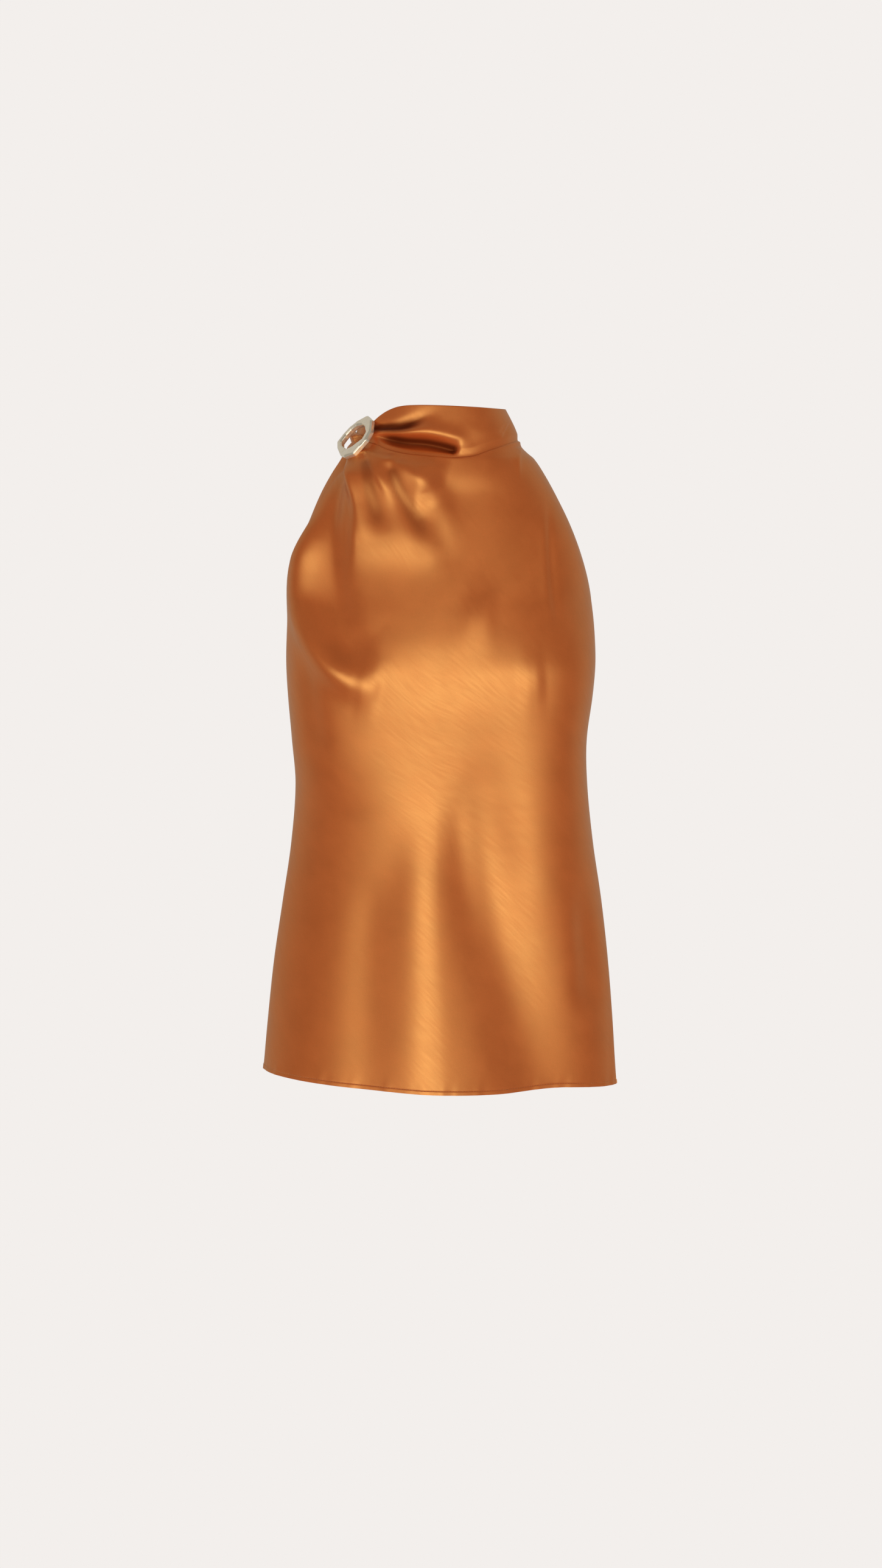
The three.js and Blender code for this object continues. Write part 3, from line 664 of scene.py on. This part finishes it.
# %% [markdown]
# ## Back panel
# The back mirrors the front more plainly: long flutes in the skirt, soft drags towards the ring.

# %% Build the back panel
BACK_COLUMNS = 130
BACK_ROWS = 170

up, across = np.meshgrid(row_shares(BACK_ROWS), column_shares(BACK_COLUMNS), indexing="ij")
foot = hem_height(back_form(across, 0 * across)[..., 0])
head = NECK_HEIGHT + BACK_NECKLINE_RISE * np.sin(np.pi * across)
back_heights = foot + (head - foot) * up
back_grid = edged(back_surface(across, back_heights), back_heights)
satin_back = sheet_from_grid("satin_back", back_grid)

# %% [markdown]
# ## Collar
# The collar is a wide band folded double: its top edge is a soft fold and not a cut edge. The
# sheet therefore goes up on the outside, round a small curve at the top, and down again on the
# inside. Its foot is tucked behind the neckline seam, where it is sewn in.

# %% Rise of the collar out of the seam
COLLAR_TUCK = 3
COLLAR_RISE_START = 0.6
COLLAR_RISE_END = 8
TUCK_DEPTH = 1.8
FOLD_RADIUS = 0.7
COLLAR_ROWS = 64
FOLD_STEPS = 7


def folded_double(grid):
    """A collar's outer side with its fold and its inner side added, in one sheet."""
    normals = grid_normals(grid)
    upwards = unit(np.gradient(grid, axis=0))
    inner = grid - normals * 2 * FOLD_RADIUS
    centre = grid[-1] - normals[-1] * FOLD_RADIUS
    rolled = []
    for step in range(1, FOLD_STEPS):
        angle = np.pi * step / FOLD_STEPS
        rolled.append(centre + FOLD_RADIUS * (np.cos(angle) * normals[-1] + np.sin(angle) * upwards[-1]))
    return np.concatenate([grid, np.array(rolled), inner[::-1]])


def collar_sheet(name, panel, collar, turn, up, seam, head, sewn):
    """A folded piece that starts behind its panel, comes out above the sewn line, ends at its head."""
    heights = seam - COLLAR_TUCK + (head - seam + COLLAR_TUCK) * up
    tucked = panel(turn, heights) - normal_of(panel, turn, heights) * TUCK_DEPTH
    free = smooth(heights, sewn + COLLAR_RISE_START, sewn + COLLAR_RISE_END)[..., None]
    grid = tucked + (collar(turn, heights) - tucked) * free
    return sheet_from_grid(name, folded_double(grid), COLLAR_CLOTH)


# %% Build the front of the collar
up, across = np.meshgrid(np.linspace(0, 1, COLLAR_ROWS), column_shares(FRONT_COLUMNS), indexing="ij")
turn = front_turn(across, 1)
seam = front_neckline(front_form(turn, 0 * turn + NECKLINE_LEVEL)[..., 0])
head = collar_top(front_form(turn, 0 * turn + COLLAR_MIDDLE)[..., 0]) - FOLD_RADIUS
satin_collar_front = collar_sheet(
    "satin_collar_front", front_surface, draped_collar, turn, up, seam, head, seam
)

# %% Build the back of the collar
COLLAR_BACK_ROWS = 44

up, across = np.meshgrid(np.linspace(0, 1, COLLAR_BACK_ROWS), column_shares(BACK_COLUMNS), indexing="ij")
x = back_form(across, 0 * across + COLLAR_MIDDLE)[..., 0]
away = smooth(np.sin(np.pi * across), 0, COLLAR_BACK_BLEND)
behind = np.minimum(collar_top(x - COLLAR_BACK_LAG), COLLAR_TOP_BACK) - COLLAR_BACK_DROP
head = collar_top(x) + (behind - collar_top(x)) * away - FOLD_RADIUS
satin_collar_back = collar_sheet(
    "satin_collar_back", back_surface, back_form, across, up, NECK_HEIGHT, head,
    NECK_HEIGHT + BACK_NECKLINE_RISE,
)

# %% [markdown]
# ## Shoulder loop
# The gathered end of the front goes up through the ring as one rounded fold and is stitched down
# behind it. Fine gathers run along it.

# %% Build the shoulder loop
LOOP_HALF_WIDTH = 5
LOOP_SEAT = 1.6
LOOP_HEIGHT = 647
LOOP_DROP = 5
LOOP_CROWN = 4.3
LOOP_START = -0.03
LOOP_END = 0.18
LOOP_COLUMNS = 70
LOOP_ROWS = 40
LOOP_GATHERS = 0.22
GATHER_WAVES = 9
GATHER_DRIFT = 1.5


def loop_points(along, across):
    turn = LOOP_START + (LOOP_END - LOOP_START) * along
    height = LOOP_HEIGHT - LOOP_DROP * along**2 + LOOP_HALF_WIDTH * across
    behind = (turn < 0)[..., None]
    front_turns = np.maximum(turn, STEP_TURN)
    back_turns = np.minimum(1 + turn, 1 - STEP_TURN)
    form = np.where(behind, back_form(back_turns, height), front_form(front_turns, height))
    outward = np.where(
        behind, normal_of(back_form, back_turns, height), normal_of(front_form, front_turns, height)
    )
    crown = LOOP_CROWN * (1 - across**2) * np.sin(np.pi * np.clip(along, 0, 1))
    gathers = LOOP_GATHERS * np.sin(GATHER_WAVES * across + GATHER_DRIFT * along) * (1 - across**2)
    return form + outward * (LOOP_SEAT + crown + gathers)[..., None]


across, along = np.meshgrid(np.linspace(-1, 1, LOOP_ROWS), np.linspace(0, 1, LOOP_COLUMNS), indexing="ij")
satin_loop = sheet_from_grid("satin_shoulder_loop", loop_points(along, across), LOOP_CLOTH)

# %% [markdown]
# ## Ring
# The ring is cast and then beaten, so it is not a true torus: the band is wide at its two ends
# and narrow along its sides, and its broad facets meet in soft ridges. It starts as a torus with
# one loop of points for each facet edge. Each loop is moved to its corner of the band, the
# ridges are creased so that subdivision keeps them, and faint hammer marks are pressed in last.

# %% Corners of the ring
RING_THICKNESS = 6.6
RING_CHAMFER = 1.4
RING_CENTRE = Vector((-83.9, -38.6, 645.2))
RING_NORMAL = Vector((-0.66, -0.5, 0.56)).normalized()
RING_LONG_AXIS = Vector((0.65, 0, 0.76))

Corner = namedtuple("Corner", "angle outer inner forward")
RING_CORNERS = [Corner(*row) for row in (
    (-150, 22.8, 12.3, 0.3), (-120, 23, 11, -0.2), (-95, 21.5, 12.4, 0.4), (-72, 22.4, 15.6, 0),
    (-45, 23.4, 16.6, -0.4), (-12, 25.8, 16, 0.3), (15, 26.4, 15.6, -0.3), (42, 21, 15, 0.3),
    (72, 19.4, 14.2, 0), (100, 20.4, 15, -0.4), (128, 22.8, 16.8, 0.2), (150, 20.8, 15, 0.4),
    (188, 21.4, 13, -0.2),
)]


def ring_section(corner):
    """Corners of the band's section, as distances from the middle and forward."""
    face = RING_THICKNESS / 2
    side = face - RING_CHAMFER
    outer, inner = corner.outer, corner.inner
    return [
        (outer, -side), (outer, side), (outer - RING_CHAMFER, face), (inner + RING_CHAMFER, face),
        (inner, side), (inner, -side), (inner + RING_CHAMFER, -face), (outer - RING_CHAMFER, -face),
    ]


short_axis = RING_NORMAL.cross(RING_LONG_AXIS).normalized()
long_axis = short_axis.cross(RING_NORMAL)
reach = [corner.outer * math.cos(math.radians(corner.angle)) for corner in RING_CORNERS]
print("the ring is about", round(max(reach) - min(reach)), "mm long")

# %% Build the ring
RING_SWELL = 1.02
RIDGE_CREASE = 0.62
EDGE_CREASE = 0.45
HAMMER_MARKS = 0.00035
HAMMER_SIZE = 0.006
SECTION_CORNERS = 8
START_RADIUS = 0.018
START_BAND = 0.004
RING_SMOOTHING = 4

bpy.ops.mesh.primitive_torus_add(
    major_segments=len(RING_CORNERS), minor_segments=SECTION_CORNERS,
    major_radius=START_RADIUS, minor_radius=START_BAND,
)
gold_ring = bpy.context.object
gold_ring.name = "gold_ring"
for i, corner in enumerate(RING_CORNERS):
    angle = math.radians(corner.angle)
    outward = long_axis * math.cos(angle) + short_axis * math.sin(angle)
    for j, (away, through) in enumerate(ring_section(corner)):
        forward = through * RING_SWELL + corner.forward
        point = RING_CENTRE + outward * away * RING_SWELL + RING_NORMAL * forward
        point.z -= NECK_HEIGHT
        gold_ring.data.vertices[i * SECTION_CORNERS + j].co = point * MILLIMETRE

crease = gold_ring.data.attributes.new("crease_edge", "FLOAT", "EDGE")
for edge in gold_ring.data.edges:
    first, second = sorted(vertex // SECTION_CORNERS for vertex in edge.vertices)
    crease.data[edge.index].value = RIDGE_CREASE if first == second else EDGE_CREASE
face_outward(gold_ring)

smoothing = gold_ring.modifiers.new("smoothing", "SUBSURF")
smoothing.levels = RING_SMOOTHING
smoothing.render_levels = RING_SMOOTHING
hammer = bpy.data.textures.new("hammer", "CLOUDS")
hammer.noise_scale = HAMMER_SIZE
hammer.noise_depth = 1
marks = gold_ring.modifiers.new("hammer_marks", "DISPLACE")
marks.texture = hammer
marks.texture_coords = "LOCAL"
marks.strength = HAMMER_MARKS
apply_all(gold_ring)
bpy.ops.object.shade_smooth()
print("the ring has", len(gold_ring.data.polygons), "faces")

# %% [markdown]
# ## Hem stitches
# The hem is caught down by hand with short slanted stitches in a thread of the satin's own
# colour. Each stitch lies in the groove at the top of the hem. A stitch is a short bowed thread,
# and a loop lays them one by one, each a little different in slant, length and place.

# %% Build the stitches
STITCH_PITCH = 2.9
STITCH_LENGTH = 1.9
STITCH_SLANT = 0.75
STITCH_RADIUS = 0.16
STITCH_SIDES = 6
STITCH_STEPS = 6
STITCH_LIFT = 0.02
STITCH_BURIED = 0.25
STITCH_TAPER = 0.35
SLANT_SPREAD = 0.16
LENGTH_SPREAD = (0.85, 1.12)
PLACE_SPREAD = 0.25
STITCH_SMOOTH_ANGLE = 60
STITCH_SEED = 5
ROW_BELOW_STITCH = HEM_ROWS.index(3.1)
ROW_ABOVE_STITCH = HEM_ROWS.index(4.5)


def place_on(grid, round_length, above, column_place, above_place):
    """Point and directions on a grid at a length along its hem and above it."""
    column = int(np.searchsorted(round_length[0], column_place)) - 1
    column = min(max(column, 0), grid.shape[1] - 2)
    start, end = round_length[0, column], round_length[0, column + 1]
    share = (column_place - start) / (end - start)
    line = grid[:, column] * (1 - share) + grid[:, column + 1] * share
    point = np.array([np.interp(above_place, above[:, column], line[:, k]) for k in range(3)])
    along = unit(grid[1, column + 1] - grid[1, column])
    upward = unit(line[ROW_ABOVE_STITCH] - line[ROW_BELOW_STITCH])
    return point, along, upward


def stitches_on(name, grid):
    """One mesh of slanted stitches along the hem of a panel."""
    random = np.random.default_rng(STITCH_SEED)
    round_length, above = steps_along(grid, 1), steps_along(grid, 0)
    length = round_length[0, -1]
    points, faces = [], []
    for place in np.arange(STITCH_PITCH, length - STITCH_PITCH, STITCH_PITCH):
        slant = STITCH_SLANT + random.uniform(-SLANT_SPREAD, SLANT_SPREAD)
        reach = STITCH_LENGTH * random.uniform(*LENGTH_SPREAD) / 2
        place = place + random.uniform(-PLACE_SPREAD, PLACE_SPREAD)
        middle, along, upward = place_on(grid, round_length, above, place, HEM_WIDTH)
        direction = unit(along * math.cos(slant) + upward * math.sin(slant))
        outward = unit(np.cross(along, upward))
        side = np.cross(outward, direction)
        for step in range(STITCH_STEPS + 1):
            share = 2 * step / STITCH_STEPS - 1
            bow = STITCH_LIFT - STITCH_BURIED * share**4
            centre = middle + direction * reach * share + outward * bow
            thickness = STITCH_RADIUS * (1 - STITCH_TAPER * share**4)
            for corner in range(STITCH_SIDES):
                angle = 2 * math.pi * corner / STITCH_SIDES
                points.append(centre + thickness * (math.cos(angle) * side + math.sin(angle) * outward))
        base = len(points) - (STITCH_STEPS + 1) * STITCH_SIDES
        last = base + STITCH_STEPS * STITCH_SIDES
        faces += tube_faces(base, STITCH_STEPS + 1, STITCH_SIDES)
        faces.append(tuple(reversed(range(base, base + STITCH_SIDES))))
        faces.append(tuple(range(last, last + STITCH_SIDES)))
    piece = object_from(name, to_frame(np.array(points)).tolist(), faces)
    face_outward(piece)
    bpy.ops.object.shade_smooth_by_angle(angle=math.radians(STITCH_SMOOTH_ANGLE))
    print(name, "has", len(faces) // (STITCH_SIDES * STITCH_STEPS + 2), "stitches")
    return piece


hem_stitches_front = stitches_on("hem_stitches_front", front_grid)
hem_stitches_back = stitches_on("hem_stitches_back", back_grid)

# %% [markdown]
# ## Satin
# Satin shines because long threads float over its face, nearly all in one direction. The gloss
# is soft and takes the colour of the cloth. This top is cut on the bias, so the threads run
# slantwise. The group makes that grain from noise stretched along the threads: it gives a faint
# change of tone, an uneven roughness and a fine relief. It reads the UV map, which is in metres.

# %% Small helpers for nodes
def feed(tree, node, sources):
    """Feeds inputs of a node, each from a socket or with a number, a vector or a colour."""
    for label, source in sources.items():
        socket = node.inputs[label]
        if isinstance(source, bpy.types.NodeSocket):
            tree.links.new(source, socket)
        else:
            socket.default_value = (*source, 1) if socket.type == "RGBA" else source


def node_with(tree, kind, sources, **settings):
    node = tree.nodes.new("ShaderNode" + kind)
    for name, value in settings.items():
        setattr(node, name, value)
    feed(tree, node, sources)
    return node


def value_node(tree, operation, first, second):
    return node_with(tree, "Math", {0: first, 1: second}, operation=operation).outputs[0]


Noise = namedtuple("Noise", "Scale Detail Roughness", defaults=(0.5,))


def noise_node(tree, vector, noise):
    return node_with(tree, "TexNoise", {"Vector": vector, **noise._asdict()}).outputs["Fac"]


def range_node(tree, value, low, high, new_low, new_high, step="LINEAR"):
    sources = {"Value": value, "From Min": low, "From Max": high, "To Min": new_low, "To Max": new_high}
    return node_with(tree, "MapRange", sources, interpolation_type=step).outputs[0]


def blend_node(tree, factor, first, second):
    sources = {"Factor": factor, "A": first, "B": second}
    return node_with(tree, "Mix", sources, data_type="RGBA").outputs["Result"]


def bump_node(tree, height, strength, distance):
    sources = {"Height": height, "Strength": strength, "Distance": distance}
    return node_with(tree, "Bump", sources).outputs[0]


def new_material(name):
    material = bpy.data.materials.new(name)
    material.use_nodes = True
    return material, material.node_tree, material.node_tree.nodes["Principled BSDF"]


# %% A node group for the satin's grain
BIAS = math.radians(45)
THREADS = Noise(2600, 2, 0.6)
FLOAT_STRETCH = 0.14
SLUBS = Noise(420, 2)
SLUB_STRETCH = 0.1
SPECKS = Noise(1700, 1, 0.6)
MOTTLES = Noise(26, 3, 0.55)
MOTTLE_SHARE = 0.5
THREAD_RELIEF = 0.7
SLUB_RELIEF = 0.5

satin_grain = bpy.data.node_groups.new("satin_grain", "ShaderNodeTree")
ends = satin_grain.interface
ends.new_socket(name="Vector", in_out="INPUT", socket_type="NodeSocketVector")
for label in ("Tone", "Gloss", "Height"):
    ends.new_socket(name=label, in_out="OUTPUT", socket_type="NodeSocketFloat")
tree = satin_grain
plain = tree.nodes.new("NodeGroupInput").outputs["Vector"]


def stretched(angle, stretch):
    """Coordinates turned in the cloth's plane and stretched along the threads."""
    turned = node_with(satin_grain, "Mapping", {"Vector": plain, "Rotation": (0, 0, angle)})
    sources = {"Vector": turned.outputs[0], "Scale": (1, stretch, 1)}
    return node_with(satin_grain, "Mapping", sources).outputs[0]


thread = noise_node(tree, stretched(BIAS, FLOAT_STRETCH), THREADS)
slub = noise_node(tree, stretched(-BIAS, SLUB_STRETCH), SLUBS)
speck = noise_node(tree, plain, SPECKS)
mottle = noise_node(tree, plain, MOTTLES)
fine = value_node(tree, "MULTIPLY", value_node(tree, "ADD", thread, speck), 0.5)
broad = value_node(tree, "MULTIPLY", value_node(tree, "SUBTRACT", mottle, 0.5), MOTTLE_SHARE)
raised = value_node(tree, "MULTIPLY", thread, THREAD_RELIEF)
feed(tree, tree.nodes.new("NodeGroupOutput"), {
    "Tone": value_node(tree, "ADD", fine, broad),
    "Gloss": value_node(tree, "ADD", slub, broad),
    "Height": value_node(tree, "ADD", raised, value_node(tree, "MULTIPLY", slub, SLUB_RELIEF)),
})
print("the satin group has", len(tree.nodes), "nodes")

# %% [markdown]
# Deep in a tight fold satin sees only itself and turns dark, more than light bounced between smooth sheets
# would leave it, so this shade is painted into the colour. Each point carries a number for how deep it lies
# in the tight folds. The material reads it as an attribute and paints the cloth and its gloss darker there.

# %% Painted shade in the tight folds
SHADE_FROM = 0.2
SHADE_FULL = 0.95
COLLAR_SHADE = 1
GATHER_SHADE = 0.4


def mark_shade(piece, folds, names, weight):
    """Stores how deep each point of a sheet lies in the named folds: 0 on open cloth."""
    places = np.empty(len(piece.data.vertices) * 3)
    piece.data.vertices.foreach_get("co", places)
    places = places.reshape(-1, 3) / MILLIMETRE
    shade = np.zeros(len(places))
    for fold in (fold for fold in folds if fold.name in names):
        depth = fold_field(fold)(places[:, 0], places[:, 2] + NECK_HEIGHT) / fold.depth
        shade = np.maximum(shade, smooth(depth, SHADE_FROM, SHADE_FULL) * weight)
    layer = piece.data.attributes.new("fold_shade", "FLOAT", "POINT")
    layer.data.foreach_set("value", shade)
    print(piece.name, "shaded points", int((shade > 0).sum()))


# Painted shade: full in the collar's deep trough and upper crease, fainter in the gather troughs of the
# front.
mark_shade(satin_collar_front, COLLAR_FOLDS, ("deep trough", "upper crease"), COLLAR_SHADE)
mark_shade(satin_front, FRONT_FOLDS, ("gather trough 1", "gather trough 2"), GATHER_SHADE)

# %% [markdown]
# The face of the satin and its duller reverse share the group and differ in colour and gloss.
# Part of the gloss is metallic, because a thread's shine is coloured. Its tint is coloured too.

# %% Satin materials
Finish = namedtuple("Finish", "dark light metallic ior rough_low rough_high bump")
SATIN_FACE = Finish((0.53, 0.081, 0.016), (0.67, 0.117, 0.026), 0.2, 2.5, 0.36, 0.44, 0.35)
SATIN_REVERSE = Finish((0.36, 0.09, 0.022), (0.46, 0.125, 0.032), 0.1, 1.6, 0.6, 0.75, 0.25)
GLOSS_TINT = (0.98, 0.88, 0.27)
# Colours of the painted shade in the deep folds: one for the gloss tint, one for the cloth.
PAINTED_SHADE_TINT = (0.2, 0.07, 0.02)
PAINTED_SHADE_COLOR = (0.12, 0.018, 0.004)
GRAIN_HEIGHT = 0.00008
NOISE_LOW = 0.3
NOISE_HIGH = 0.7


def satin_material(name, finish):
    material, tree, shader = new_material(name)
    cloth = node_with(tree, "UVMap", {}, uv_map="cloth").outputs[0]
    grain = node_with(tree, "Group", {}, node_tree=satin_grain)
    tree.links.new(cloth, grain.inputs["Vector"])
    tone = range_node(tree, grain.outputs["Tone"], NOISE_LOW, NOISE_HIGH, 0, 1)
    color = blend_node(tree, tone, finish.dark, finish.light)
    # Painted shade: where fold_shade marks a deep fold, the cloth colour and the gloss tint are blended
    # towards dark painted shade colours.
    deep = node_with(tree, "Attribute", {}, attribute_name="fold_shade").outputs["Fac"]
    gloss = (NOISE_LOW, NOISE_HIGH, finish.rough_low, finish.rough_high)
    feed(tree, shader, {
        "Base Color": blend_node(tree, deep, color, PAINTED_SHADE_COLOR),
        "Specular Tint": blend_node(tree, deep, GLOSS_TINT, PAINTED_SHADE_TINT),
        "Roughness": range_node(tree, grain.outputs["Gloss"], *gloss),
        "Normal": bump_node(tree, grain.outputs["Height"], finish.bump, GRAIN_HEIGHT),
        "Metallic": finish.metallic,
        "IOR": finish.ior,
    })
    return material


satin_face = satin_material("satin_face", SATIN_FACE)
satin_reverse = satin_material("satin_reverse", SATIN_REVERSE)
for piece in (satin_front, satin_back):
    piece.data.materials.append(satin_face)
    piece.data.materials.append(satin_reverse)
for piece in (satin_collar_front, satin_collar_back, satin_loop):
    piece.data.materials.append(satin_face)
print("satin on five pieces")

# %% [markdown]
# ## Thread
# The thread is a tight twist of silk: fine slanted ridges round each stitch, a shade lighter
# than the cloth.

# %% Thread material
TWISTS = Noise(3200, 2)
THREAD_DARK = (0.42, 0.16, 0.06)
THREAD_LIGHT = (0.78, 0.36, 0.15)
THREAD_ROUGHNESS = (0.4, 0.6)
TWIST_RELIEF = (0.4, 0.0001)

thread_material, tree, shader = new_material("stitch_thread")
where = node_with(tree, "TexCoord", {}).outputs["Object"]
twist = noise_node(tree, where, TWISTS)
feed(tree, shader, {
    "Base Color": blend_node(tree, twist, THREAD_DARK, THREAD_LIGHT),
    "Roughness": range_node(tree, twist, NOISE_LOW, NOISE_HIGH, *THREAD_ROUGHNESS),
    "Normal": bump_node(tree, twist, *TWIST_RELIEF),
})
for piece in (hem_stitches_front, hem_stitches_back):
    piece.data.materials.append(thread_material)
print("thread on both lines of stitches")

# %% [markdown]
# ## Gold
# The ring is pale champagne gold, polished after it was beaten. Handling has left its ridges a
# little brighter and its hollows a little duller, and a fine ripple keeps reflections soft.

# %% Gold material
WEAR_PATCHES = Noise(220, 3)
RIPPLES = Noise(420, 2)
RIPPLE_RELIEF = (0.25, 0.0004)
GOLD_ROUGHNESS = (0.26, 0.14)
GOLD_METALLIC = 0.7
GOLD_DARK = (0.88, 0.76, 0.56)
GOLD_LIGHT = (0.97, 0.89, 0.72)

gold, tree, shader = new_material("beaten_gold")
where = node_with(tree, "TexCoord", {}).outputs["Object"]
wear = noise_node(tree, where, WEAR_PATCHES)
feed(tree, shader, {
    "Base Color": blend_node(tree, wear, GOLD_DARK, GOLD_LIGHT),
    "Roughness": range_node(tree, wear, NOISE_LOW, NOISE_HIGH, *GOLD_ROUGHNESS),
    "Normal": bump_node(tree, noise_node(tree, where, RIPPLES), *RIPPLE_RELIEF),
    "Metallic": GOLD_METALLIC,
})
gold_ring.data.materials.append(gold)
print("gold on the ring")

# %% [markdown]
# ## Studio
# The stage is one wide pale bowl: a floor that curves up into a wall all round, so that there is
# no corner and no horizon behind the object from any side. It glows evenly, as a lit backdrop
# does, but only the camera sees it. The satin is lit by the world and by one large soft panel,
# low and in front: it is brightest where it faces them, and darkens as it turns up or away.

# %% Floor and backdrop
FLOOR = -1.3
BOWL_RADIUS = 5.4
BOWL_BEND = 1.6
BOWL_HEIGHT = 4.5
BOWL_SIDES = 96
BEND_STEPS = 12
BACKDROP = (0.896, 0.863, 0.840)

profile = []
for step in range(BEND_STEPS + 1):
    angle = math.pi / 2 * step / BEND_STEPS
    radius = BOWL_RADIUS - BOWL_BEND * (1 - math.sin(angle))
    profile.append((radius, FLOOR + BOWL_BEND * (1 - math.cos(angle))))
profile.append((BOWL_RADIUS, BOWL_HEIGHT))
points = [(0, 0, FLOOR)]
for radius, level in profile:
    for side in range(BOWL_SIDES):
        angle = 2 * math.pi * side / BOWL_SIDES
        points.append((radius * math.cos(angle), radius * math.sin(angle), level))
faces = [(0, 1 + side, 1 + (side + 1) % BOWL_SIDES) for side in range(BOWL_SIDES)]
faces += [face[::-1] for face in tube_faces(1, len(profile), BOWL_SIDES)]
studio_floor = object_from("studio_floor", points, faces)
only(studio_floor)
bpy.ops.object.shade_smooth()

paper, tree, _ = new_material("backdrop_paper")
tree.nodes.clear()
glow = node_with(tree, "Emission", {"Color": BACKDROP})
node_with(tree, "OutputMaterial", {"Surface": glow.outputs[0]})
studio_floor.data.materials.append(paper)
studio_floor.visible_diffuse = False
studio_floor.visible_glossy = False
studio_floor.visible_shadow = False
print("the bowl has", len(faces), "faces")

# %% Soft light from all round
KEY_HEIGHT = -0.12
KEY_WIDE = 0.9
KEY_TALL = 0.53
KEY_CORE = 0.3
KEY_EDGE = 1.05
KEY_STRENGTH = 2.35
WALL_STRENGTH = 0.35
ROOM_STRENGTH = 0.2
LIGHT_COLOR = (1, 0.975, 0.945)
KEY_LOBE = ((0, -1, 0), 0, 0.3)
WALL_LOBE = ((0, 1, 0.1), -0.15, 0.5)


def lobe(axis, edge, core, strength):
    """Light that rises softly from nothing at edge to strength at core, as cosines from an axis."""
    towards = node_with(tree, "VectorMath", {0: direction, 1: axis}, operation="DOT_PRODUCT")
    return range_node(tree, towards.outputs["Value"], edge, core, 0, strength, "SMOOTHSTEP")


world = bpy.data.worlds.new("studio_world")
world.use_nodes = True
tree = world.node_tree
direction = node_with(tree, "TexCoord", {}).outputs["Generated"]
placed = node_with(tree, "Mapping", {
    "Vector": direction,
    "Location": (0, 0, -KEY_HEIGHT / KEY_TALL),
    "Scale": (1 / KEY_WIDE, 0, 1 / KEY_TALL),
}).outputs[0]
away = node_with(tree, "VectorMath", {0: placed}, operation="LENGTH").outputs["Value"]
panel = range_node(tree, away, KEY_EDGE, KEY_CORE, 0, KEY_STRENGTH, "SMOOTHSTEP")
key = value_node(tree, "MULTIPLY", panel, lobe(*KEY_LOBE, 1))
wall = lobe(*WALL_LOBE, WALL_STRENGTH)
lit = value_node(tree, "ADD", value_node(tree, "ADD", key, wall), ROOM_STRENGTH)
feed(tree, tree.nodes["Background"], {"Color": LIGHT_COLOR, "Strength": lit})
bpy.context.scene.world = world
print("the sky has", len(tree.nodes), "nodes")

# %% Key panel
PANEL_PLACE = Vector((0.1, -1.9, -0.9))
PANEL_TARGET = Vector((0, 0, -0.3))
PANEL_WIDE = 1.6
PANEL_TALL = 1.2
PANEL_POWER = 4

lamp = bpy.data.lights.new("key_panel", "AREA")
lamp.shape = "ELLIPSE"
lamp.size = PANEL_WIDE
lamp.size_y = PANEL_TALL
lamp.energy = PANEL_POWER
key_panel = object_with("key_panel", lamp)
key_panel.location = PANEL_PLACE
key_panel.rotation_euler = (PANEL_TARGET - PANEL_PLACE).to_track_quat("-Z", "Y").to_euler()
key_panel.visible_camera = False
bpy.context.scene.view_settings.view_transform = "Standard"
print("the panel gives", PANEL_POWER, "watts")

# %% [markdown]
# ## Hand the pieces to the frame
# Each piece rides on the garment's one body and stands for its imported solid.

# %% Ride and replace
PIECES = [
    (satin_front, "front_panel"),
    (satin_back, "back_panel"),
    (satin_collar_front, "collar_front"),
    (satin_collar_back, "collar_back"),
    (satin_loop, "shoulder_loop"),
    (gold_ring, "ring"),
]
for piece, node in PIECES:
    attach(piece, "root")
    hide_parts(node)
for piece in (hem_stitches_front, hem_stitches_back):
    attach(piece, "root")
